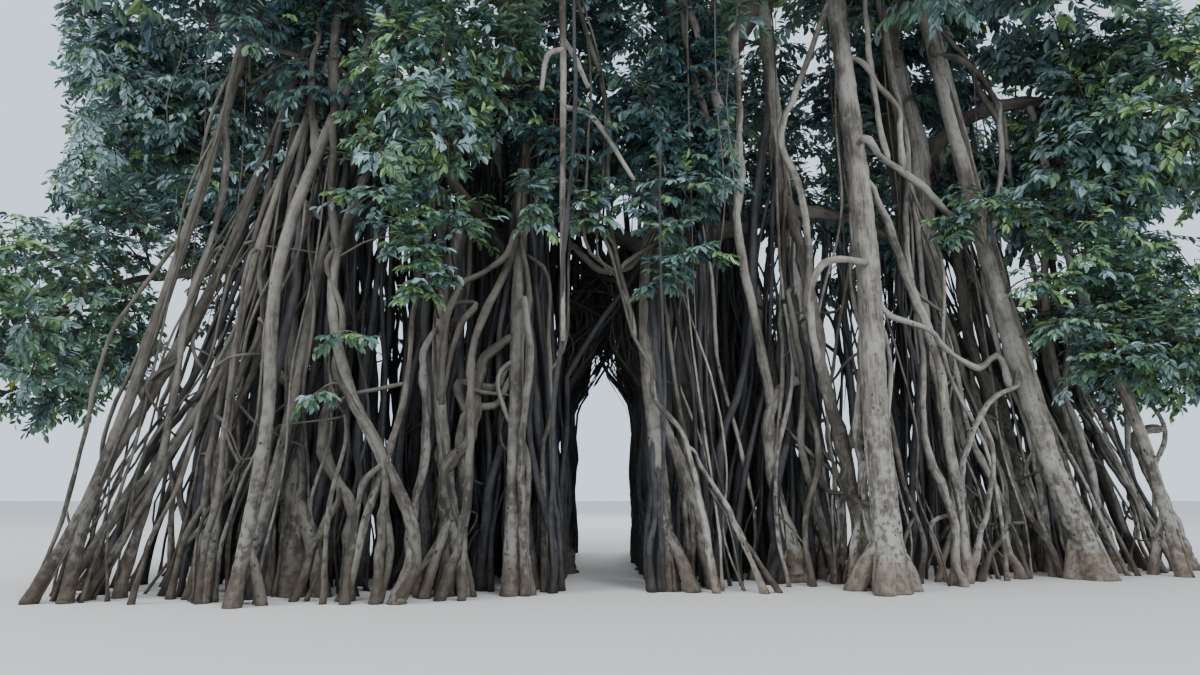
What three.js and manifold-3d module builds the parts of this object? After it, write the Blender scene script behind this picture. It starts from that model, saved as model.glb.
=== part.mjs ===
// Banyan tree: trunks and pole-like prop roots round a walk-through passage, under one wide crown.
// The geometry is in millimetres; the tables below give metres. +X is right as seen from the front,
// +Y is towards the back, +Z is up. The origin is the middle of the main trunk's flat cut at the ground.

import * as THREE from 'three';
import { mergeVertices } from 'three/addons/utils/BufferGeometryUtils.js';
import Module from 'manifold-3d';

const wasm = await Module();
wasm.setup();

const METRE = 1000;
const SEAT = 0.3;
const UP = new THREE.Vector3(0, 0, 1);
const RIGHT = new THREE.Vector3(1, 0, 0);

// Bark and leaf colours
const BARK = new THREE.MeshStandardMaterial({ color: 0x7d7165, roughness: 0.9, metalness: 0 });
const PALE_BARK = new THREE.MeshStandardMaterial({ color: 0x988b7e, roughness: 0.88, metalness: 0 });
const LEAF = new THREE.MeshStandardMaterial({ color: 0x3c5a37, roughness: 0.55, metalness: 0 });

// The space that people walk through, kept free of every limb and leaf
const PASSAGE = { low: [1.0, -5.4, 0], high: [1.95, 5.6, 3.0] };

// Trunks: path from the ground to the tip, radius at the ground and at the tip, root flare at the
// ground as a share of the radius, and the number of ridges that the flare runs out into
const TRUNKS = [
  { name: 'trunk', path: [[0, 0, 0], [0.02, 0.05, 3.2], [-0.15, 0.2, 7.6], [-0.5, 0.5, 12.0]],
    radius: [0.6, 0.22], flare: 0.42, ridges: 5, sides: 15, steps: 8 },
  { name: 'trunk_right', path: [[2.95, 0.3, 0], [3.05, 0.3, 3.0], [3.35, 0.3, 7.6], [4.1, 0.7, 12.4]],
    radius: [0.54, 0.2], flare: 0.4, ridges: 4, sides: 12, steps: 8 },
  { name: 'trunk_far_left', path: [[-3.3, -0.8, 0], [-3.4, -0.7, 3.5], [-3.4, -0.5, 7.0], [-3.9, 0.1, 11.0]],
    radius: [0.4, 0.17], flare: 0.4, ridges: 3, sides: 10, steps: 7 },
  { name: 'trunk_far_right', path: [[8.4, 1.2, 0], [8.1, 1.25, 4.0], [7.7, 1.2, 7.8], [7.5, 1.4, 11.6]],
    radius: [0.36, 0.17], flare: 0.4, ridges: 3, sides: 10, steps: 7 },
];

// Boughs: the trunk that carries each, its path from inside that trunk to its tip, and its radius
// at the trunk and at the tip
const BOUGHS = [
  { name: 'bough_left', on: 'trunk', path: [[-0.15, 0.2, 8.0], [-1.5, -1.5, 9.8], [-3.2, -2.45, 10.3],
    [-5.0, -3.0, 10.6], [-6.2, -3.2, 10.9]], radius: [0.26, 0.13], steps: 7 },
  { name: 'bough_front', on: 'trunk', path: [[-0.25, 0.3, 9.0], [0.3, -1.7, 10.1], [0.8, -3.0, 10.7],
    [1.1, -4.1, 11.1]], radius: [0.22, 0.12], steps: 5 },
  { name: 'bough_inner_front', on: 'trunk', path: [[0, 0.12, 5.2], [-0.75, -1.5, 6.2], [-1.2, -2.75, 6.6]],
    radius: [0.15, 0.08], steps: 4 },
  { name: 'bough_back_left', on: 'trunk', path: [[-0.12, 0.15, 6.8], [-0.8, 2.0, 8.7], [-1.5, 3.6, 9.8]],
    radius: [0.24, 0.12], steps: 4 },
  { name: 'bough_front_right', on: 'trunk_right', path: [[3.4, 0.3, 8.3], [2.7, -1.5, 9.8],
    [3.0, -3.0, 10.6], [3.7, -4.1, 11.1]], radius: [0.22, 0.12], steps: 6 },
  { name: 'bough_right_front', on: 'trunk_right', path: [[3.55, 0.35, 9.3], [4.6, -0.6, 10.9],
    [6.1, -1.2, 11.2], [7.6, -0.85, 11.4], [9.0, -1.4, 11.7]], radius: [0.27, 0.14], steps: 7 },
  { name: 'bough_back_right', on: 'trunk_right', path: [[3.35, 0.3, 7.2], [4.1, 2.2, 8.9], [4.8, 3.9, 9.9]],
    radius: [0.24, 0.12], steps: 4 },
  { name: 'bough_far_left', on: 'trunk_far_left', path: [[-3.4, -0.52, 6.6], [-3.9, -1.2, 7.9],
    [-5.2, -1.4, 8.6], [-6.3, -1.4, 8.5]], radius: [0.18, 0.1], steps: 6 },
  { name: 'bough_left_low', on: 'trunk_far_left', path: [[-3.4, -0.66, 4.4], [-5.1, -0.6, 5.4],
    [-6.6, -0.9, 5.2]], radius: [0.14, 0.07], steps: 4 },
  { name: 'bough_left_back', on: 'trunk_far_left', path: [[-3.4, -0.5, 6.2], [-4.5, 1.5, 7.8],
    [-5.5, 2.9, 8.5]], radius: [0.2, 0.1], steps: 4 },
  { name: 'bough_right', on: 'trunk_far_right', path: [[7.75, 1.2, 7.2], [8.5, 0.35, 8.6],
    [9.6, -0.1, 8.9], [10.3, -0.4, 8.7]], radius: [0.2, 0.1], steps: 5 },
  { name: 'bough_right_low', on: 'trunk_far_right', path: [[8.05, 1.25, 4.3], [9.6, 1.35, 5.2],
    [10.9, 1.0, 5.0]], radius: [0.15, 0.07], steps: 4 },
  { name: 'bough_right_back', on: 'trunk_far_right', path: [[7.8, 1.2, 6.8], [8.5, 2.8, 8.4],
    [9.3, 4.1, 9.1]], radius: [0.2, 0.1], steps: 4 },
];

// Limbs that have grown together with two trunks, so that the tree is one: from inside one trunk to
// inside the other
const LINKS = [
  { name: 'bough_across_left', on: 'trunk', to: 'trunk_far_left', path: [[-0.1, 0.15, 6.0],
    [-1.8, -0.15, 6.9], [-3.4, -0.45, 7.6]], radius: [0.2, 0.14] },
  { name: 'bough_across_passage', on: 'trunk_right', to: 'trunk', path: [[3.2, 0.3, 5.6],
    [1.6, 0.4, 6.4], [-0.1, 0.15, 6.6]], radius: [0.19, 0.14] },
  { name: 'bough_across_right', on: 'trunk_right', to: 'trunk_far_right', path: [[3.3, 0.3, 6.3],
    [5.6, 0.65, 6.9], [7.85, 1.2, 6.3]], radius: [0.18, 0.13] },
];

// Prop roots: foot on the ground, bends on the way up, the bough that each hangs from and how far
// along that bough, and the radius at foot and top. A leg is a second foot that joins the prop at
// the height given last; flare widens a foot as a share of its radius. A twin is a second root grown
// together with the first, which hangs from the same bough or joins the first at a height.
const PROPS = [
  { name: 'prop_left_outer', foot: [-6.04, -4.36], bends: [[-5.5, -4.12, 1.4], [-4.85, -3.45, 5.2]],
    on: 'bough_left', along: 0.72, radius: [0.11, 0.07], flare: 0.5,
    twins: [{ foot: [-5.6, -4.3], bends: [[-5.48, -4.08, 1.45], [-5.0, -3.55, 3.0], [-4.35, -2.9, 5.3]],
      along: 0.6, radius: [0.11, 0.08] }] },
  { name: 'prop_left_slant', foot: [-6.28, -2.8], bends: [[-5.45, -2.5, 1.7], [-4.55, -2.05, 4.0]],
    on: 'bough_far_left', along: 0.34, radius: [0.09, 0.06], flare: 0.4, legs: [[-5.85, -3.1, 1.0]] },
  { name: 'prop_left_thin', foot: [-3.78, -4.3], bends: [[-3.84, -3.89, 1.86], [-3.88, -3.4, 4.4]],
    on: 'bough_left', along: 0.545, radius: [0.06, 0.05], flare: 0.3 },
  { name: 'prop_left_main', foot: [-3.23, -4.74], bends: [[-3.13, -4.25, 2.3], [-3.25, -3.8, 4.8]],
    on: 'bough_left', along: 0.475, radius: [0.13, 0.085], flare: 0.7, legs: [[-2.95, -4.5, 0.8]],
    twins: [{ foot: [-3.35, -4.45], bends: [[-3.22, -3.95, 1.1], [-3.1, -3.4, 2.7], [-2.88, -2.9, 5.3]],
      along: 0.415, radius: [0.1, 0.08] }] },
  { name: 'prop_left_column', foot: [-2.9, -3.5], bends: [[-3.1, -3.1, 1.9], [-3.5, -2.55, 4.6]],
    on: 'bough_far_left', along: 0.2, radius: [0.17, 0.09], flare: 0.35, legs: [[-2.45, -3.6, 1.4]] },
  { name: 'prop_left_bowed', foot: [-1.25, -4.36], bends: [[-1.08, -4.2, 0.8], [-1.6, -4.0, 1.9],
    [-2.2, -3.75, 2.95], [-2.6, -3.35, 4.8]], on: 'bough_left', along: 0.34, radius: [0.09, 0.07],
    flare: 0.5, legs: [[-1.92, -4.36, 1.8]] },
  { name: 'prop_centre_forked', foot: [-0.45, -3.55], bends: [[-0.85, -3.25, 1.8], [-1.1, -2.8, 4.0]],
    on: 'bough_inner_front', along: 0.7, radius: [0.11, 0.08], flare: 0.5, legs: [[-1.0, -3.8, 1.1]] },
  { name: 'prop_centre_pole', foot: [0.13, -3.52], bends: [[0.13, -3.1, 2.2], [0.1, -2.5, 5.2]],
    on: 'bough_front', along: 0.46, radius: [0.11, 0.07], flare: 0.4, legs: [[0.42, -3.4, 1.3]] },
  { name: 'prop_passage_right', foot: [2.42, -2.9], bends: [[2.27, -2.5, 2.2], [2.15, -2.0, 4.6]],
    on: 'bough_front_right', along: 0.36, radius: [0.14, 0.09], flare: 0.5,
    legs: [[3.1, -2.7, 2.9], [2.75, -3.1, 0.9]] },
  { name: 'prop_inner_dark', foot: [4.95, 0.75], bends: [[4.85, 0.95, 3.6]],
    on: 'bough_back_right', along: 0.42, radius: [0.15, 0.08], flare: 0.5 },
  { name: 'prop_right_inner', foot: [5.25, -1.2], bends: [[5.06, -0.8, 2.9], [4.85, -0.7, 5.8]],
    on: 'bough_right_front', along: 0.3, radius: [0.19, 0.12], flare: 0.3, legs: [[4.75, -1.35, 1.0]] },
  { name: 'prop_right_main', foot: [5.62, -3.2], bends: [[5.66, -2.75, 2.1], [5.83, -2.08, 5.4]],
    on: 'bough_right_front', along: 0.5, radius: [0.17, 0.14], flare: 0.6,
    legs: [[5.15, -2.85, 0.8], [5.98, -2.9, 0.7], [5.4, -3.45, 0.6]] },
  { name: 'prop_right_slender', foot: [8.4, 0.1], bends: [[8.0, 0.05, 2.8], [7.45, -0.2, 6.0]],
    on: 'bough_right_front', along: 0.62, radius: [0.1, 0.07], flare: 0.4 },
  { name: 'prop_right_leaning', foot: [9.58, -1.4], bends: [[9.12, -1.1, 1.9], [8.5, -0.75, 5.4]],
    on: 'bough_right_front', along: 0.75, radius: [0.18, 0.13], flare: 0.5, legs: [[9.25, -1.2, 0.8]] },
  { name: 'prop_right_middle', foot: [9.55, 0.5], bends: [[8.8, 0.5, 4.6]],
    on: 'bough_right', along: 0.36, radius: [0.13, 0.09], flare: 0.4, legs: [[9.1, 0.1, 2.0]] },
  { name: 'prop_far_right', foot: [11.3, -0.9], bends: [[10.85, -0.75, 2.6], [10.2, -0.55, 5.0]],
    on: 'bough_right', along: 0.84, radius: [0.11, 0.07], flare: 0.4, legs: [[11.0, -0.5, 1.1]],
    twins: [{ foot: [10.6, -0.2], bends: [[9.75, -0.15, 4.2]], join: 7.4, radius: [0.09, 0.06] }] },
  { name: 'prop_back_far_left', foot: [-4.7, 3.3], bends: [[-4.6, 2.6, 4.2]],
    on: 'bough_left_back', along: 0.62, radius: [0.14, 0.08], flare: 0.5 },
  { name: 'prop_back_left', foot: [-1.5, 4.3], bends: [[-1.2, 3.5, 4.4]],
    on: 'bough_back_left', along: 0.66, radius: [0.15, 0.09], flare: 0.5, legs: [[-1.0, 4.6, 1.3]] },
  { name: 'prop_back_right', foot: [5.5, 4.3], bends: [[5.0, 3.6, 4.4]],
    on: 'bough_back_right', along: 0.74, radius: [0.15, 0.09], flare: 0.5, legs: [[5.0, 4.7, 1.3]] },
  { name: 'prop_back_far_right', foot: [9.8, 3.9], bends: [[9.2, 3.5, 4.4]],
    on: 'bough_right_back', along: 0.66, radius: [0.14, 0.08], flare: 0.5 },
];

// The hanging root with cut arms: it ends in the air over the passage's left side. Each arm leaves it
// at a height and runs through two points, given from there
const HANGING_ROOT = {
  name: 'hanging_root', on: 'bough_front', along: 0.72, radius: [0.035, 0.06],
  path: [[0.86, -3.55, 3.6], [0.83, -3.45, 5.6], [0.82, -3.35, 8.2]], armRadius: [0.05, 0.035],
  arms: [{ height: 8.3, run: [[-0.22, -0.06, -0.1], [-0.33, -0.08, -0.72]] },
    { height: 8.5, run: [[0.2, -0.05, -0.35], [0.4, -0.08, -0.85]] },
    { height: 7.3, run: [[0.4, 0.05, -0.1], [1.1, 0.1, -1.15]] }],
};

// Masses of foliage: the limb whose tip carries each, or a height on a trunk's side, the middle of
// the mass's space, and how far that space reaches from it along X, Y and Z
const MASSES = [
  { name: 'foliage_top_left', tip: 'trunk_far_left', centre: [-4.6, 0.6, 12.6], reach: [3.3, 3.3, 2.4] },
  { name: 'foliage_top_middle_left', tip: 'trunk', centre: [-0.2, 0.4, 14.0], reach: [3.2, 3.4, 2.4] },
  { name: 'foliage_top_middle_right', tip: 'trunk_right', centre: [4.0, 0.6, 14.3], reach: [3.2, 3.4, 2.4] },
  { name: 'foliage_top_right', tip: 'trunk_far_right', centre: [8.3, 1.0, 13.3], reach: [3.3, 3.4, 2.4] },
  { name: 'foliage_front_left', tip: 'bough_left', centre: [-5.4, -4.2, 11.4], reach: [3.3, 2.7, 2.1] },
  { name: 'foliage_front_middle', tip: 'bough_front', centre: [0.0, -5.0, 11.9], reach: [3.3, 2.7, 2.1] },
  { name: 'foliage_front_right', tip: 'bough_front_right', centre: [4.8, -5.0, 12.0],
    reach: [3.2, 2.7, 2.1] },
  { name: 'foliage_far_front_right', tip: 'bough_right_front', centre: [9.5, -3.4, 11.9],
    reach: [3.2, 2.9, 2.2] },
  { name: 'foliage_inner_front', tip: 'bough_inner_front', centre: [-1.3, -3.6, 7.4],
    reach: [1.3, 1.4, 1.8], twigs: 4 },
  { name: 'foliage_left_high', tip: 'bough_far_left', centre: [-7.7, -0.8, 8.2], reach: [2.2, 3.0, 2.3] },
  { name: 'foliage_left_low', tip: 'bough_left_low', centre: [-8.1, -1.5, 4.4], reach: [1.9, 2.6, 2.1] },
  { name: 'foliage_left_back', tip: 'bough_left_back', centre: [-6.2, 4.2, 9.0], reach: [3.2, 3.0, 2.9] },
  { name: 'foliage_back_left', tip: 'bough_back_left', centre: [-1.4, 5.2, 10.6], reach: [3.2, 2.8, 2.8] },
  { name: 'foliage_back_right', tip: 'bough_back_right', centre: [4.2, 5.5, 10.7], reach: [3.2, 2.8, 2.8] },
  { name: 'foliage_right_back', tip: 'bough_right_back', centre: [9.6, 5.0, 9.6], reach: [3.2, 3.0, 2.9] },
  { name: 'foliage_right_high', tip: 'bough_right', centre: [11.5, -0.8, 8.3], reach: [2.3, 2.9, 2.3] },
  { name: 'foliage_right_low', tip: 'bough_right_low', centre: [12.0, 0.9, 4.6], reach: [2.0, 2.9, 2.2] },
  { name: 'foliage_curtain_left', side: 'trunk', height: 6.6, centre: [0.6, -1.6, 7.7],
    reach: [1.6, 1.5, 2.1], twigs: 4 },
  { name: 'foliage_curtain_right', side: 'trunk_right', height: 6.6, centre: [3.7, -1.6, 7.7],
    reach: [1.6, 1.5, 2.1], twigs: 4 },
];

// Limbs: a root flare fades over so many radii, its ridges stand out by a share of the radius, and a
// flared limb's rings crowd towards its foot by a power
const FLARE_FADE = 2.2;
const RIDGE_HEIGHT = 0.3;
const CROWDING = 1.35;
const BOUGH_SIDES = 6;
const PROP_SIDES = 6;
const PROP_STEPS = 5;
const LEG_SIDES = 5;
const LEG_RADIUS = [0.75, 0.6];
const LEG_FLARE = 0.3;
const KNEE_RISE = 0.12;
const COURSE_PIECES = 14;
const HALVINGS = 30;

// A limb whose ends differ in height by more than this share of their distance counts as upright
const STEEP = 0.6;

// Stems and twigs, with radii in metres: the stem's end, the share of a bough's tip that the stem
// takes up, the stretch that goes straight on from the tip, the part of the stem that bears twigs,
// and the shares of the mass's reach that a twig tries in turn
const STEM_END = 0.05;
const STEM_FIT = 0.86;
const STEM_LEAD = 0.3;
const SIDE_STEM = 0.08;
const TWIG_FIRST = 0.97;
const TWIG_STRETCH = 0.5;
const TWIG_ORDER = 5;
const TWIG_WANDER = 0.8;
const TWIGS = 6;
const TWIG_RADIUS = [0.04, 0.02];
const TWIG_REACH = [0.52, 0.42, 0.3];

// Leaves: the length is a share of the mass's reach; width, thickness and the broadest place are
// shares of the length
const LEAVES_PER_TWIG = 3;
const LEAF_FIRST = 0.97;
const LEAF_SPACING = 0.26;
const LEAF_VARIES = 0.2;
const LEAF_LENGTH = 0.56;
const LEAF_WIDTH = 0.6;
const LEAF_THICKNESS = 0.07;
const LEAF_BROADEST = 0.42;
const LEAF_SPREAD = 1.3;
const LEAF_TILT = 0.9;
const LEAF_FACES_UP = 0.35;
const LEAF_TWIST = 1.2;
const LEAF_SINK = 0.2;
const DROOP = 0.2;

// A leaf that doesn't fit is turned further and made smaller, so many times
const ATTEMPTS = 6;
const FIRST_SWING = 0.5;
const MORE_SWING = 0.3;
const SHRINK = 0.93;

// Room that leaves and twigs keep to limbs, to the passage and to the next mass's space
const CLEAR_OF_LIMBS = 0.03;
const CLEAR_OF_PASSAGE = 0.1;
const CLEAR_OF_MASSES = 0.02;

// Twigs turn round their stem by the golden angle, and each mass has a seed of its own
const GOLDEN_ANGLE = Math.PI * (3 - Math.sqrt(5));
const SEED = 101;
const SEED_STEP = 17;

// Small helpers
const vector = ([x, y, z]) => new THREE.Vector3(x, y, z).multiplyScalar(METRE);
const mix = THREE.MathUtils.lerp;

// The same numbers each run for the same seed
function seeded(seed) {
  let state = seed >>> 0;
  return () => {
    state = (state + 0x6d2b79f5) >>> 0;
    let bits = Math.imul(state ^ (state >>> 15), 1 | state);
    bits = (bits + Math.imul(bits ^ (bits >>> 7), 61 | bits)) ^ bits;
    return ((bits ^ (bits >>> 14)) >>> 0) / 4294967296;
  };
}

// A limb is a curve with a radius at each end; its first ring faces along startNormal
function makeLimb({ name, points, radius, sides = 6, steps = 6, flare = 0, ridges = 0, startNormal = null }) {
  const curve = new THREE.CatmullRomCurve3(points, false, 'centripetal');
  const length = curve.getLength();
  const chord = points.at(-1).clone().sub(points[0]);
  const upright = Math.abs(chord.z) > STEEP * chord.length();
  return {
    name, curve, length, radius: radius.map((r) => r * METRE), sides, steps, flare, ridges,
    startNormal, upright,
  };
}

// Radius of a limb a part of the way along it, in the direction of an angle round it
function radiusAt(limb, t, angle) {
  const [start, end] = limb.radius;
  const fade = Math.exp(-(t * limb.length) / (FLARE_FADE * start));
  const ridge = limb.ridges ? RIDGE_HEIGHT * fade * Math.cos(limb.ridges * angle) : 0;
  return mix(start, end, t) * (1 + limb.flare * fade + ridge);
}

// A closed cylinder is bent along the limb's curve; grow makes it larger all round
function bentCylinder(limb, grow = 0) {
  const { curve, sides, steps } = limb;
  const geometry = new THREE.CylinderGeometry(1, 1, 1, sides, steps);
  const place = geometry.attributes.position;
  const point = new THREE.Vector3();
  for (let i = 0; i < place.count; i++) {
    point.fromBufferAttribute(place, i);
    const ring = Math.round((point.y + 0.5) * steps);
    const part = ring / steps;
    const t = limb.flare ? part ** CROWDING : part;
    const normal = curve.getTangentAt(t);
    if (limb.startNormal && ring === 0) normal.copy(limb.startNormal);
    const across = limb.upright
      ? RIGHT.clone().addScaledVector(normal, -RIGHT.dot(normal)).normalize()
      : UP.clone().cross(normal).normalize();
    const other = across.clone().cross(normal);
    const step = Math.round((Math.atan2(point.x, point.z) * sides) / (2 * Math.PI));
    const angle = (((step + sides) % sides) * 2 * Math.PI) / sides;
    const onRim = Math.hypot(point.x, point.z) > 0.5;
    const reach = onRim ? radiusAt(limb, t, angle) + grow : 0;
    const centre = curve.getPointAt(t);
    centre.addScaledVector(across, reach * Math.sin(angle));
    centre.addScaledVector(other, reach * Math.cos(angle));
    place.setXYZ(i, centre.x, centre.y, centre.z);
  }
  return geometry;
}

// Geometry to solid and back
function toSolid(geometry) {
  geometry.deleteAttribute('normal');
  geometry.deleteAttribute('uv');
  const merged = mergeVertices(geometry);
  return new wasm.Manifold(new wasm.Mesh({
    numProp: 3,
    vertProperties: new Float32Array(merged.attributes.position.array),
    triVerts: new Uint32Array(merged.index.array),
  }));
}

function toGeometry(solid) {
  const mesh = solid.getMesh();
  const geometry = new THREE.BufferGeometry();
  geometry.setAttribute('position', new THREE.BufferAttribute(mesh.vertProperties, 3));
  geometry.setIndex(new THREE.BufferAttribute(mesh.triVerts, 1));
  geometry.computeVertexNormals();
  return geometry;
}

// The largest closed body of a solid: scraps and sealed hollows are left behind
function mainBody(solid) {
  const bodies = solid.decompose();
  return bodies.reduce((best, body) => (body.volume() > best.volume() ? body : best));
}

const limbs = new Map();
const segments = [];
const group = new THREE.Group();
group.name = 'banyan_tree';

function addMesh(name, solid, material) {
  const mesh = new THREE.Mesh(toGeometry(solid), material);
  mesh.name = name;
  group.add(mesh);
}

// A limb's course is kept as short straight pieces, for the leaves to stay clear of
function keepCourse(limb) {
  for (let i = 0; i < COURSE_PIECES; i++) {
    const t = i / COURSE_PIECES;
    segments.push({
      line: new THREE.Line3(limb.curve.getPointAt(t), limb.curve.getPointAt((i + 1) / COURSE_PIECES)),
      radius: radiusAt(limb, t, 0),
    });
  }
}

// Trunks
function addTrunk(spec) {
  const limb = makeLimb({ ...spec, points: spec.path.map(vector), startNormal: UP });
  limbs.set(limb.name, limb);
  keepCourse(limb);
  addMesh(limb.name, toSolid(bentCylinder(limb)), BARK);
}

// Boughs start inside their trunk and are cut back to its surface
function addBough(spec) {
  const limb = makeLimb({ ...spec, points: spec.path.map(vector), sides: BOUGH_SIDES });
  const trunk = toSolid(bentCylinder(limbs.get(spec.on), SEAT));
  limbs.set(limb.name, limb);
  keepCourse(limb);
  addMesh(limb.name, mainBody(toSolid(bentCylinder(limb)).subtract(trunk)), BARK);
}

// Links are cut back to both trunks
function addLink(spec) {
  const limb = makeLimb({ ...spec, points: spec.path.map(vector), steps: 4 });
  const ends = [spec.on, spec.to].map((name) => toSolid(bentCylinder(limbs.get(name), SEAT)));
  limbs.set(limb.name, limb);
  keepCourse(limb);
  addMesh(limb.name, mainBody(toSolid(bentCylinder(limb)).subtract(ends[0]).subtract(ends[1])), BARK);
}

// A second foot that leans into its prop
function legOf(prop, [x, y, height], radius) {
  const joint = joinPoint(prop, height * METRE);
  const foot = new THREE.Vector3(x * METRE, y * METRE, 0);
  const knee = foot.clone().lerp(joint, 0.5).add(new THREE.Vector3(0, 0, KNEE_RISE * joint.z));
  const limb = makeLimb({
    points: [foot, knee, joint], radius: LEG_RADIUS.map((share) => share * radius),
    sides: LEG_SIDES, steps: 2, flare: LEG_FLARE, startNormal: UP,
  });
  keepCourse(limb);
  return toSolid(bentCylinder(limb));
}

// A second root grown together with a prop
function twinOf(prop, bough, spec) {
  const top = spec.join ? joinPoint(prop, spec.join * METRE) : bough.curve.getPointAt(spec.along);
  const points = [vector([...spec.foot, 0]), ...spec.bends.map(vector), top];
  const limb = makeLimb({
    points, radius: spec.radius, sides: PROP_SIDES, steps: PROP_STEPS, flare: prop.flare, startNormal: UP,
  });
  keepCourse(limb);
  return toSolid(bentCylinder(limb));
}

// The point of a limb's course at a height
function joinPoint(limb, height) {
  let low = 0;
  let high = 1;
  for (let i = 0; i < HALVINGS; i++) {
    const middle = (low + high) / 2;
    if (limb.curve.getPointAt(middle).z < height) low = middle;
    else high = middle;
  }
  return limb.curve.getPointAt(low);
}

// Props run from the ground to the middle of their bough and are cut back to its surface
function addProp(spec) {
  const bough = limbs.get(spec.on);
  const top = bough.curve.getPointAt(spec.along);
  const points = [vector([...spec.foot, 0]), ...spec.bends.map(vector), top];
  const limb = makeLimb({ ...spec, points, sides: PROP_SIDES, steps: PROP_STEPS, startNormal: UP });
  const legs = (spec.legs ?? []).map((leg) => legOf(limb, leg, spec.radius[0]));
  const twins = (spec.twins ?? []).map((twin) => twinOf(limb, bough, twin));
  const whole = [...legs, ...twins].reduce((solid, extra) => solid.add(extra), toSolid(bentCylinder(limb)));
  const carrier = toSolid(bentCylinder(bough, SEAT));
  limbs.set(limb.name, limb);
  keepCourse(limb);
  addMesh(limb.name, mainBody(whole.subtract(carrier)), PALE_BARK);
}

function addHangingRoot(spec) {
  const bough = limbs.get(spec.on);
  const points = [...spec.path.map(vector), bough.curve.getPointAt(spec.along)];
  const limb = makeLimb({ ...spec, points, steps: 6 });
  let whole = toSolid(bentCylinder(limb));
  for (const arm of spec.arms) {
    const start = joinPoint(limb, arm.height * METRE);
    const run = arm.run.map((offset) => vector(offset).add(start));
    const branch = makeLimb({ points: [start, ...run], radius: spec.armRadius, sides: 4, steps: 2 });
    keepCourse(branch);
    whole = whole.add(toSolid(bentCylinder(branch)));
  }
  limbs.set(limb.name, limb);
  keepCourse(limb);
  addMesh(limb.name, mainBody(whole.subtract(toSolid(bentCylinder(bough, SEAT)))), PALE_BARK);
}

// How far a point lies from the middle of a mass, where 1 is the edge of the mass's reach
function shareOf(mass, point) {
  const [x, y, z] = mass.centre;
  const [a, b, c] = mass.reach;
  return Math.hypot((point.x / METRE - x) / a, (point.y / METRE - y) / b, (point.z / METRE - z) / c);
}

function inPassage(point, margin) {
  const at = point.toArray().map((value) => value / METRE);
  return at.every((value, i) => value > PASSAGE.low[i] - margin && value < PASSAGE.high[i] + margin);
}

// A point is in a mass's own space when it is nearer to that mass's middle than to any other's
function inOwnSpace(mass, point) {
  const share = shareOf(mass, point);
  if (share > 1 || inPassage(point, CLEAR_OF_PASSAGE)) return false;
  return MASSES.every((other) => other === mass || shareOf(other, point) > share + CLEAR_OF_MASSES);
}

function clearOfLimbs(point, room) {
  const nearest = new THREE.Vector3();
  return segments.every(({ line, radius }) => {
    line.closestPointToPoint(point, true, nearest);
    return nearest.distanceTo(point) > radius + room + CLEAR_OF_LIMBS * METRE;
  });
}

// A leaf is a thin eight-faced blade whose root is sunk in its twig
function leafSolid(root, direction, normal, length) {
  const width = length * LEAF_WIDTH;
  const side = direction.clone().cross(normal).normalize();
  const face = side.clone().cross(direction).normalize();
  const geometry = new THREE.OctahedronGeometry(0.5);
  const place = geometry.attributes.position;
  const corner = new THREE.Vector3();
  for (let i = 0; i < place.count; i++) {
    corner.fromBufferAttribute(place, i);
    const along = corner.y * length + 0.5 * length;
    const middle = Math.abs(corner.y) < 0.1 ? (LEAF_BROADEST - 0.5) * length : 0;
    const at = root.clone().addScaledVector(direction, along + middle);
    at.addScaledVector(side, corner.x * width);
    at.addScaledVector(face, corner.z * length * LEAF_THICKNESS);
    place.setXYZ(i, at.x, at.y, at.z);
  }
  return geometry;
}

function leafFits(mass, root, direction, side, length) {
  return [0.25, LEAF_BROADEST, 0.7, 1].every((part) => {
    const widthShare = part <= LEAF_BROADEST ? part / LEAF_BROADEST : (1 - part) / (1 - LEAF_BROADEST);
    const halfWidth = 0.5 * LEAF_WIDTH * length * widthShare;
    const middle = root.clone().addScaledVector(direction, part * length);
    if (!clearOfLimbs(middle, halfWidth)) return false;
    return [-1, 0, 1].every((way) => inOwnSpace(mass, middle.clone().addScaledVector(side, way * halfWidth)));
  });
}

// One twig from its root to a target inside the mass's space, or none if the way isn't clear
function twigOf(mass, root, target, radius) {
  const limb = makeLimb({ points: [root, target], radius, sides: 3, steps: 1 });
  const clear = [0.3, 0.6, 0.8, 1].every((t) => {
    const point = limb.curve.getPointAt(t);
    return inOwnSpace(mass, point) && clearOfLimbs(point, radiusAt(limb, t, 0));
  });
  return clear ? limb : null;
}

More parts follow.
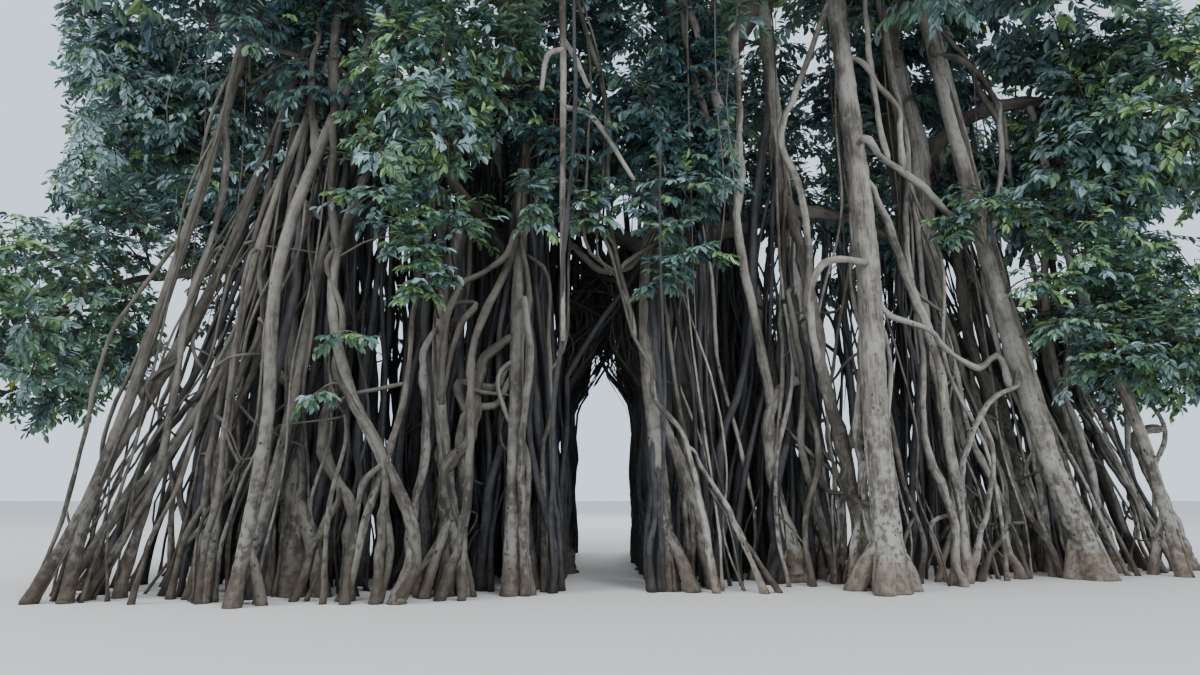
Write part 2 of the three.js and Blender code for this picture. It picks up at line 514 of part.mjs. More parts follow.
// The first leaf goes on from the twig's tip, and the others stand out to either side of it in turn.
// A leaf that doesn't fit is turned and made smaller a few times, and then left out.
function addLeaves(mass, twig, random, pieces) {
  const size = Math.cbrt(mass.reach[0] * mass.reach[1] * mass.reach[2]);
  const hub = vector(mass.centre);
  for (let i = 0; i < LEAVES_PER_TWIG; i++) {
    const t = LEAF_FIRST - LEAF_SPACING * i;
    const at = twig.curve.getPointAt(t);
    const along = twig.curve.getTangentAt(t);
    const outward = at.clone().sub(hub).normalize();
    const sideways = along.clone().cross(outward.clone().addScaledVector(UP, LEAF_TILT)).normalize();
    for (let attempt = 0; attempt < ATTEMPTS; attempt++) {
      const swing = new THREE.Vector3(random() - 0.5, random() - 0.5, random() - 0.5);
      const way = i === 0 ? 0 : (i % 2 ? 1 : -1) * LEAF_SPREAD;
      const direction = along.clone().addScaledVector(sideways, way);
      direction.addScaledVector(swing, FIRST_SWING + MORE_SWING * attempt);
      direction.z -= DROOP;
      direction.normalize();
      const normal = outward.clone().addScaledVector(UP, LEAF_FACES_UP).addScaledVector(swing, LEAF_TWIST);
      const varied = 1 + LEAF_VARIES * (0.5 - random());
      const length = size * LEAF_LENGTH * varied * SHRINK ** attempt * METRE;
      const root = at.clone().addScaledVector(direction, -LEAF_SINK * radiusAt(twig, t, 0));
      const side = direction.clone().cross(normal).normalize();
      if (leafFits(mass, root, direction, side, length)) {
        pieces.push(toSolid(leafSolid(root, direction, normal, length)));
        break;
      }
    }
  }
}

// The stem of a mass goes straight on from a limb's tip, or starts inside a trunk, and ends in the
// middle of the mass
function stemOf(mass, carrier) {
  const centre = vector(mass.centre);
  if (mass.side) {
    const start = joinPoint(carrier, mass.height * METRE);
    return makeLimb({
      points: [start, start.clone().lerp(centre, 0.5), centre], radius: [SIDE_STEM, STEM_END],
      sides: 4, steps: 2,
    });
  }
  const along = carrier.curve.getTangentAt(1);
  const start = carrier.curve.getPointAt(1).addScaledVector(along, SEAT);
  const lead = start.clone().addScaledVector(along, STEM_LEAD * METRE);
  const tipRadius = (carrier.radius[1] / METRE) * STEM_FIT;
  return makeLimb({
    points: [start, lead, lead.clone().lerp(centre, 0.65), centre], radius: [tipRadius, STEM_END],
    sides: 4, steps: 3, startNormal: along,
  });
}

// A mass of foliage: a stem, twigs that branch from it to all sides, and leaves on the twigs
function addMass(mass, index) {
  const random = seeded(SEED + SEED_STEP * index);
  const carrier = limbs.get(mass.tip ?? mass.side);
  const centre = vector(mass.centre);
  const stem = stemOf(mass, carrier);
  const pieces = [];
  const twigs = mass.twigs ?? TWIGS;
  for (let i = 0; i < twigs; i++) {
    const height = 1 - (2 * (i + 0.5)) / twigs;
    const ring = Math.sqrt(1 - height * height);
    const turn = i * GOLDEN_ANGLE + TWIG_WANDER * random();
    const aim = new THREE.Vector3(ring * Math.cos(turn), ring * Math.sin(turn), height);
    const place = ((i * TWIG_ORDER) % twigs) / twigs;
    const root = stem.curve.getPointAt(TWIG_FIRST - TWIG_STRETCH * place);
    for (const share of TWIG_REACH) {
      const target = centre.clone().add(new THREE.Vector3(
        aim.x * mass.reach[0], aim.y * mass.reach[1], aim.z * mass.reach[2],
      ).multiplyScalar(share * METRE));
      const twig = twigOf(mass, root, target, TWIG_RADIUS);
      if (!twig) continue;
      pieces.push(toSolid(bentCylinder(twig)));
      addLeaves(mass, twig, random, pieces);
      break;
    }
  }
  let whole = pieces.reduce((solid, piece) => solid.add(piece), toSolid(bentCylinder(stem)));
  if (mass.side) whole = whole.subtract(toSolid(bentCylinder(carrier, SEAT)));
  addMesh(mass.name, mainBody(whole), LEAF);
}

TRUNKS.forEach(addTrunk);
BOUGHS.forEach(addBough);
LINKS.forEach(addLink);
PROPS.forEach(addProp);
addHangingRoot(HANGING_ROOT);
MASSES.forEach(addMass);

export default group;
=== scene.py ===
"""Banyan tree: furrowed trunks and boughs, hundreds of prop roots round a passage, and a leafy crown.

Metres, +X right as seen from the front, +Y towards the back, +Z up, as in the CAD model.
"""

import math
from collections import namedtuple

import bmesh
import bpy
import numpy as np
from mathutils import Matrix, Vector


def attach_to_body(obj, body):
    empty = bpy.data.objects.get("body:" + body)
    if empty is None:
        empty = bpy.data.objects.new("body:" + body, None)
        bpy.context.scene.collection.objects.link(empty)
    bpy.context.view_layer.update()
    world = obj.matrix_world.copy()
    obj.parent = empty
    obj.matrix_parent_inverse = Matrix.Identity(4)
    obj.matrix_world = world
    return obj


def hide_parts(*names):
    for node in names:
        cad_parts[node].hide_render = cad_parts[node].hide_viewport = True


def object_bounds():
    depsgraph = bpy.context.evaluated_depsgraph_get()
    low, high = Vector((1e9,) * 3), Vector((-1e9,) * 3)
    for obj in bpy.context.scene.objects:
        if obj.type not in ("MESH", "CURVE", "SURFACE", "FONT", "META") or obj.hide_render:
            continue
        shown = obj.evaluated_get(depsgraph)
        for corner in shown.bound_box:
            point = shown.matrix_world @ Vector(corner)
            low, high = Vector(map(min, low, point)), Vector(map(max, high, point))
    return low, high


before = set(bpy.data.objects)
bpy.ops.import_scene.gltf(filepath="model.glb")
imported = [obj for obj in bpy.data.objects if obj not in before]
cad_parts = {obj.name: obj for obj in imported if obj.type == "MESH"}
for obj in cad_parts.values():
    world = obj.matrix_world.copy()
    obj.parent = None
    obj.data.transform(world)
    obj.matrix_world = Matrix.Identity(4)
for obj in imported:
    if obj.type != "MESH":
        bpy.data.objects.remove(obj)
cad_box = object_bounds()
bpy.ops.object.select_all(action="DESELECT")

UP = np.array([0.0, 0.0, 1.0])
RIGHT = np.array([1.0, 0.0, 0.0])
GOLDEN_ANGLE = math.pi * (3 - math.sqrt(5))
SEED = 101
SEED_STEP = 17

# The space that people walk through, kept free of every limb and leaf
PASSAGE_LOW = np.array([1.0, -5.4, 0.0])
PASSAGE_HIGH = np.array([1.95, 5.6, 3.0])

# Trunks: radius at the ground and at the tip, root flare as a share of the radius, the number of
# ridges that the flare runs out into, and the path from the ground to the tip
TRUNKS = {
    "trunk": ((0.6, 0.22), 0.42, 5, [(0, 0, 0), (0.02, 0.05, 3.2), (-0.15, 0.2, 7.6), (-0.5, 0.5, 12.0)]),
    "trunk_right": ((0.54, 0.2), 0.4, 4, [(2.95, 0.3, 0), (3.05, 0.3, 3.0), (3.35, 0.3, 7.6),
                                          (4.1, 0.7, 12.4)]),
    "trunk_far_left": ((0.4, 0.17), 0.4, 3, [(-3.3, -0.8, 0), (-3.4, -0.7, 3.5), (-3.4, -0.5, 7.0),
                                             (-3.9, 0.1, 11.0)]),
    "trunk_far_right": ((0.36, 0.17), 0.4, 3, [(8.4, 1.2, 0), (8.1, 1.25, 4.0), (7.7, 1.2, 7.8),
                                               (7.5, 1.4, 11.6)]),
}

# Boughs, and limbs grown together with two trunks: radius at both ends, and the path from inside the
# trunk that carries each
BOUGHS = {
    "bough_left": ((0.26, 0.13), [(-0.15, 0.2, 8.0), (-1.5, -1.5, 9.8), (-3.2, -2.45, 10.3),
                                  (-5.0, -3.0, 10.6), (-6.2, -3.2, 10.9)]),
    "bough_front": ((0.22, 0.12), [(-0.25, 0.3, 9.0), (0.3, -1.7, 10.1), (0.8, -3.0, 10.7),
                                   (1.1, -4.1, 11.1)]),
    "bough_inner_front": ((0.15, 0.08), [(0, 0.12, 5.2), (-0.75, -1.5, 6.2), (-1.2, -2.75, 6.6)]),
    "bough_back_left": ((0.24, 0.12), [(-0.12, 0.15, 6.8), (-0.8, 2.0, 8.7), (-1.5, 3.6, 9.8)]),
    "bough_front_right": ((0.22, 0.12), [(3.4, 0.3, 8.3), (2.7, -1.5, 9.8), (3.0, -3.0, 10.6),
                                         (3.7, -4.1, 11.1)]),
    "bough_right_front": ((0.27, 0.14), [(3.55, 0.35, 9.3), (4.6, -0.6, 10.9), (6.1, -1.2, 11.2),
                                         (7.6, -0.85, 11.4), (9.0, -1.4, 11.7)]),
    "bough_back_right": ((0.24, 0.12), [(3.35, 0.3, 7.2), (4.1, 2.2, 8.9), (4.8, 3.9, 9.9)]),
    "bough_far_left": ((0.18, 0.1), [(-3.4, -0.52, 6.6), (-3.9, -1.2, 7.9), (-5.2, -1.4, 8.6),
                                     (-6.3, -1.4, 8.5)]),
    "bough_left_low": ((0.14, 0.07), [(-3.4, -0.66, 4.4), (-5.1, -0.6, 5.4), (-6.6, -0.9, 5.2)]),
    "bough_left_back": ((0.2, 0.1), [(-3.4, -0.5, 6.2), (-4.5, 1.5, 7.8), (-5.5, 2.9, 8.5)]),
    "bough_right": ((0.2, 0.1), [(7.75, 1.2, 7.2), (8.5, 0.35, 8.6), (9.6, -0.1, 8.9), (10.3, -0.4, 8.7)]),
    "bough_right_low": ((0.15, 0.07), [(8.05, 1.25, 4.3), (9.6, 1.35, 5.2), (10.9, 1.0, 5.0)]),
    "bough_right_back": ((0.2, 0.1), [(7.8, 1.2, 6.8), (8.5, 2.8, 8.4), (9.3, 4.1, 9.1)]),
    "bough_across_left": ((0.2, 0.14), [(-0.1, 0.15, 6.0), (-1.8, -0.15, 6.9), (-3.4, -0.45, 7.6)]),
    "bough_across_passage": ((0.19, 0.14), [(3.2, 0.3, 5.6), (1.6, 0.4, 6.4), (-0.1, 0.15, 6.6)]),
    "bough_across_right": ((0.18, 0.13), [(3.3, 0.3, 6.3), (5.6, 0.65, 6.9), (7.85, 1.2, 6.3)]),
}

# Prop roots: foot on the ground, bends on the way up, the bough that each hangs from and how far along
# it, radius at foot and top, and flare at the foot. A leg is a second foot that joins the prop at a
# height; a twin is a second root grown together with the first, up to its bough or to a joint's height.
Prop = namedtuple("Prop", "foot bends bough along radius flare legs twin", defaults=((), None))
Twin = namedtuple("Twin", "foot bends radius along joint", defaults=(None,))
PROPS = {
    "prop_left_outer": Prop(
        (-6.04, -4.36), [(-5.5, -4.12, 1.4), (-4.85, -3.45, 5.2)], "bough_left", 0.72, (0.085, 0.065), 0.3,
        twin=Twin((-5.6, -4.3), [(-5.48, -4.08, 1.45), (-5.0, -3.55, 3.0), (-4.35, -2.9, 5.3)],
                  (0.085, 0.07), 0.6)),
    "prop_left_slant": Prop(
        (-6.28, -2.8), [(-5.45, -2.5, 1.7), (-4.55, -2.05, 4.0)], "bough_far_left", 0.34, (0.09, 0.06), 0.4,
        [(-5.85, -3.1, 1.0)]),
    "prop_left_thin": Prop(
        (-3.78, -4.3), [(-3.84, -3.89, 1.86), (-3.88, -3.4, 4.4)], "bough_left", 0.545, (0.06, 0.05), 0.3),
    "prop_left_main": Prop(
        (-3.23, -4.74), [(-3.13, -4.25, 2.3), (-3.25, -3.8, 4.8)], "bough_left", 0.475, (0.095, 0.075), 0.3,
        [(-2.95, -4.5, 0.8)],
        Twin((-3.35, -4.45), [(-3.22, -3.95, 1.1), (-3.1, -3.4, 2.7), (-2.88, -2.9, 5.3)], (0.085, 0.07),
             0.415)),
    "prop_left_column": Prop(
        (-2.9, -3.5), [(-3.1, -3.1, 1.9), (-3.5, -2.55, 4.6)], "bough_far_left", 0.2, (0.17, 0.09), 0.35,
        [(-2.45, -3.6, 1.4)]),
    "prop_left_bowed": Prop(
        (-1.25, -4.36), [(-1.08, -4.2, 0.8), (-1.6, -4.0, 1.9), (-2.2, -3.75, 2.95), (-2.6, -3.35, 4.8)],
        "bough_left", 0.34, (0.09, 0.07), 0.5, [(-1.92, -4.36, 1.8)]),
    "prop_centre_forked": Prop(
        (-0.45, -3.55), [(-0.85, -3.25, 1.8), (-1.1, -2.8, 4.0)], "bough_inner_front", 0.7, (0.11, 0.08), 0.3,
        [(-1.0, -3.8, 1.1)]),
    "prop_centre_pole": Prop(
        (0.13, -3.52), [(0.13, -3.1, 2.2), (0.1, -2.5, 5.2)], "bough_front", 0.46, (0.11, 0.07), 0.25,
        [(0.42, -3.4, 1.3)]),
    "prop_passage_right": Prop(
        (2.42, -2.9), [(2.27, -2.5, 2.2), (2.15, -2.0, 4.6)], "bough_front_right", 0.36, (0.14, 0.09), 0.25,
        [(3.1, -2.7, 2.9), (2.75, -3.1, 0.9)]),
    "prop_inner_dark": Prop((4.95, 0.75), [(4.85, 0.95, 3.6)], "bough_back_right", 0.42, (0.15, 0.08), 0.5),
    "prop_right_inner": Prop(
        (5.25, -1.2), [(5.06, -0.8, 2.9), (4.85, -0.7, 5.8)], "bough_right_front", 0.3, (0.19, 0.12), 0.3,
        [(4.75, -1.35, 1.0)]),
    "prop_right_main": Prop(
        (5.62, -3.2), [(5.66, -2.75, 2.1), (5.83, -2.08, 5.4)], "bough_right_front", 0.5, (0.195, 0.165),
        0.35,
        [(5.15, -2.85, 0.8), (5.98, -2.9, 0.7), (5.4, -3.45, 0.6)]),
    "prop_right_slender": Prop(
        (8.4, 0.1), [(8.0, 0.05, 2.8), (7.45, -0.2, 6.0)], "bough_right_front", 0.62, (0.1, 0.07), 0.4),
    "prop_right_leaning": Prop(
        (9.58, -1.4), [(9.12, -1.1, 1.9), (8.5, -0.75, 5.4)], "bough_right_front", 0.75, (0.195, 0.145), 0.35,
        [(9.25, -1.2, 0.8)]),
    "prop_right_middle": Prop(
        (9.55, 0.5), [(8.8, 0.5, 4.6)], "bough_right", 0.36, (0.13, 0.09), 0.4, [(9.1, 0.1, 2.0)]),
    "prop_far_right": Prop(
        (11.3, -0.9), [(10.85, -0.75, 2.6), (10.2, -0.55, 5.0)], "bough_right", 0.84, (0.11, 0.07), 0.4,
        [(11.0, -0.5, 1.1)], Twin((10.6, -0.2), [(9.75, -0.15, 4.2)], (0.09, 0.06), None, 7.4)),
    "prop_back_far_left": Prop((-4.7, 3.3), [(-4.6, 2.6, 4.2)], "bough_left_back", 0.62, (0.14, 0.08), 0.5),
    "prop_back_left": Prop(
        (-1.5, 4.3), [(-1.2, 3.5, 4.4)], "bough_back_left", 0.66, (0.15, 0.09), 0.5, [(-1.0, 4.6, 1.3)]),
    "prop_back_right": Prop(
        (5.5, 4.3), [(5.0, 3.6, 4.4)], "bough_back_right", 0.74, (0.15, 0.09), 0.5, [(5.0, 4.7, 1.3)]),
    "prop_back_far_right": Prop((9.8, 3.9), [(9.2, 3.5, 4.4)], "bough_right_back", 0.66, (0.14, 0.08), 0.5),
}

# The hanging root with cut arms over the passage's left side: its path up to its place on a bough, and
# its radius at both ends. An arm leaves it at a height, and its bend and end count from there.
HANGING_PATH = [(0.86, -3.55, 3.6), (0.83, -3.45, 5.6), (0.82, -3.35, 8.2)]
HANGING_BOUGH, HANGING_ALONG = "bough_front", 0.72
HANGING_RADIUS, ARM_RADIUS = (0.035, 0.06), (0.05, 0.035)
ARMS = [(8.3, (-0.22, -0.06, -0.1), (-0.33, -0.08, -0.72)), (8.5, (0.2, -0.05, -0.35), (0.4, -0.08, -0.85)),
        (7.3, (0.4, 0.05, -0.1), (1.1, 0.1, -1.15))]
CUT_END = 0.05

# Masses of foliage: the limb whose tip carries each, or a trunk that carries it at a height, the middle
# of its space and how far it reaches from there, then the tone and length of its leaves, the number of
# sprays and how ragged its edge is. One is cut back at the crown's left edge, and two are open.
Mass = namedtuple("Mass", "limb centre reach tone leaf sprays ragged height open cut_back",
                  defaults=("plain", 0.23, 800, 0.22, None, None, False))
MASSES = {
    "top_left": Mass("trunk_far_left", (-4.6, 0.6, 12.6), (3.3, 3.3, 2.4)),
    "top_middle_left": Mass("trunk", (-0.2, 0.4, 14.0), (3.2, 3.4, 2.4)),
    "top_middle_right": Mass("trunk_right", (4.0, 0.6, 14.3), (3.2, 3.4, 2.4)),
    "top_right": Mass("trunk_far_right", (8.3, 1.0, 13.3), (3.3, 3.4, 2.4)),
    "front_left": Mass("bough_left", (-5.4, -4.2, 11.4), (3.3, 2.7, 2.1)),
    "front_middle": Mass("bough_front", (0.0, -5.0, 11.9), (3.3, 2.7, 2.1)),
    "front_right": Mass("bough_front_right", (4.8, -5.0, 12.0), (3.2, 2.7, 2.1)),
    "far_front_right": Mass("bough_right_front", (9.5, -3.4, 11.9), (3.2, 2.9, 2.2)),
    "inner_front": Mass("bough_inner_front", (-1.3, -3.6, 7.4), (1.3, 1.4, 1.8), "fresh", 0.16, 420, 0.3),
    "left_high": Mass("bough_far_left", (-7.7, -0.8, 8.2), (2.2, 3.0, 2.3),
                      "painted_sheen", 0.15, 1300, cut_back=True),
    "left_low": Mass("bough_left_low", (-8.1, -1.5, 4.4), (1.9, 2.6, 2.1), "fresh", 0.16, 950),
    "left_back": Mass("bough_left_back", (-6.2, 4.2, 9.0), (3.2, 3.0, 2.9)),
    "back_left": Mass("bough_back_left", (-1.4, 5.2, 10.6), (3.2, 2.8, 2.8)),
    "back_right": Mass("bough_back_right", (4.2, 5.5, 10.7), (3.2, 2.8, 2.8)),
    "right_back": Mass("bough_right_back", (9.6, 5.0, 9.6), (3.2, 3.0, 2.9)),
    "right_high": Mass("bough_right", (11.5, -0.8, 8.3), (2.3, 2.9, 2.3), "fresh", 0.18, 1200),
    "right_low": Mass("bough_right_low", (12.0, 0.9, 4.6), (2.0, 2.9, 2.2), "fresh", 0.17, 1100),
    "curtain_left": Mass("trunk", (0.6, -1.6, 7.7), (1.6, 1.5, 2.1), "shaded", 0.17, 560, 0.35, 6.6,
                         ((-1.2, -3.5, 5.0), (0.1, -1.2, 10.0))),
    "curtain_right": Mass("trunk_right", (3.7, -1.6, 7.7), (1.6, 1.5, 2.1), "shaded", 0.17, 640, 0.35, 6.6,
                          ((3.6, -3.5, 5.0), (5.5, -0.5, 10.0))),
}

# Leafy shoots on the limbs and prop roots: tone, length and droop of the leaves, then a number of
# shoots and the box that they grow in, or the middle and reach of each
Shoots = namedtuple("Shoots", "tone leaf droop count low high at branches size",
                    defaults=(0, None, None, (), 7, 1.0))
SHOOTS = {
    "front": [
        Shoots("fresh", 0.16, 0.35, at=[
            ((-1.8, -3.85, 5.75), (0.7, 0.4, 0.3)), ((-0.95, -3.8, 5.45), (0.65, 0.4, 0.28)),
            ((-1.4, -3.9, 5.1), (0.5, 0.35, 0.22)), ((-1.15, -3.9, 4.4), (0.42, 0.3, 0.22)),
            ((-1.2, -3.9, 4.85), (0.4, 0.3, 0.2))]),
        Shoots("fresh", 0.16, 0.5, branches=3, at=[
            ((-2.15, -4.05, 3.65), (0.4, 0.25, 0.3)), ((-2.62, -3.95, 2.75), (0.35, 0.25, 0.35))]),
        Shoots("plain", 0.17, 0.5, at=[
            ((0.45, -3.4, 5.8), (0.35, 0.35, 0.45)), ((1.9, -2.95, 6.05), (0.65, 0.4, 0.3)),
            ((2.9, -2.9, 6.2), (0.75, 0.45, 0.35)), ((2.4, -3.0, 5.55), (0.5, 0.35, 0.25)),
            ((1.25, -3.1, 5.75), (0.4, 0.35, 0.3)), ((2.35, -2.95, 4.7), (0.35, 0.3, 0.25)),
            ((3.0, -2.6, 5.2), (0.5, 0.4, 0.4))]),
    ],
    "left": [
        Shoots("painted_sheen", 0.17, 0.8, 38, (-7.4, -2.4, 5.9), (-3.2, 1.2, 10.0)),
        Shoots("shaded", 0.17, 0.8, 12, (-5.4, -3.8, 7.4), (-2.4, -2.0, 9.9)),
        Shoots("painted_sheen", 0.17, 0.8, 12, (-6.6, -1.8, 8.4), (-4.4, 0.6, 10.2)),
        Shoots("plain", 0.16, 0.5, 10, (-7.8, -2.2, 5.2), (-5.4, 0.4, 6.6)),
        Shoots("shaded", 0.17, 0.8, 14, (-6.6, 0.2, 3.4), (-4.0, 2.4, 5.8)),
    ],
    "middle": [
        Shoots("fresh", 0.18, 0.4, 13, (-2.6, -3.6, 6.0), (0.0, -2.0, 9.4)),
        Shoots("shaded", 0.18, 0.8, 20, (0.9, -2.9, 6.3), (3.2, -0.4, 10.4)),
        Shoots("shaded", 0.18, 0.8, 8, (4.2, 0.4, 6.4), (6.0, 2.2, 8.6)),
        Shoots("shaded", 0.18, 0.8, 6, (5.9, -0.4, 8.0), (7.2, 1.6, 11.0)),
    ],
    "right": [
        Shoots("shaded", 0.24, 1.0, 16, (7.3, 0.3, 6.2), (9.4, 1.8, 11.2)),
        Shoots("painted_sheen", 0.24, 1.0, 24, (9.3, -2.2, 6.4), (11.6, 0.6, 11.0)),
        Shoots("fresh", 0.16, 0.4, 24, (9.3, -2.0, 3.2), (12.4, 0.0, 6.6)),
        Shoots("fresh", 0.16, 0.4, at=[
            ((8.0, -1.7, 6.4), (0.6, 0.4, 0.32)), ((8.75, -1.6, 6.1), (0.6, 0.4, 0.35)),
            ((7.55, -1.5, 5.95), (0.4, 0.3, 0.2)), ((8.9, -1.9, 5.0), (0.6, 0.4, 0.35)),
            ((9.2, -1.9, 4.2), (0.55, 0.4, 0.3))]),
    ],
    "back": [Shoots("plain", 0.2, 0.5, 30, (-5.0, 2.0, 5.2), (9.6, 4.8, 8.6))],
    "crown": [Shoots("plain", 0.23, 0.5, 52, (-6.4, -4.6, 9.6), (10.4, 5.4, 14.0), size=1.5)],
}

# How far left the crown reaches at each height, as a share of the distance in front of the eye
EYE = (1.4, -16.1, 1.5)
LEFT_EDGE_HEIGHTS = (5.6, 6.7, 8.0, 9.4, 11.0)
LEFT_EDGE_SLOPES = (-1.0, -0.66, -0.63, -0.675, -0.72)

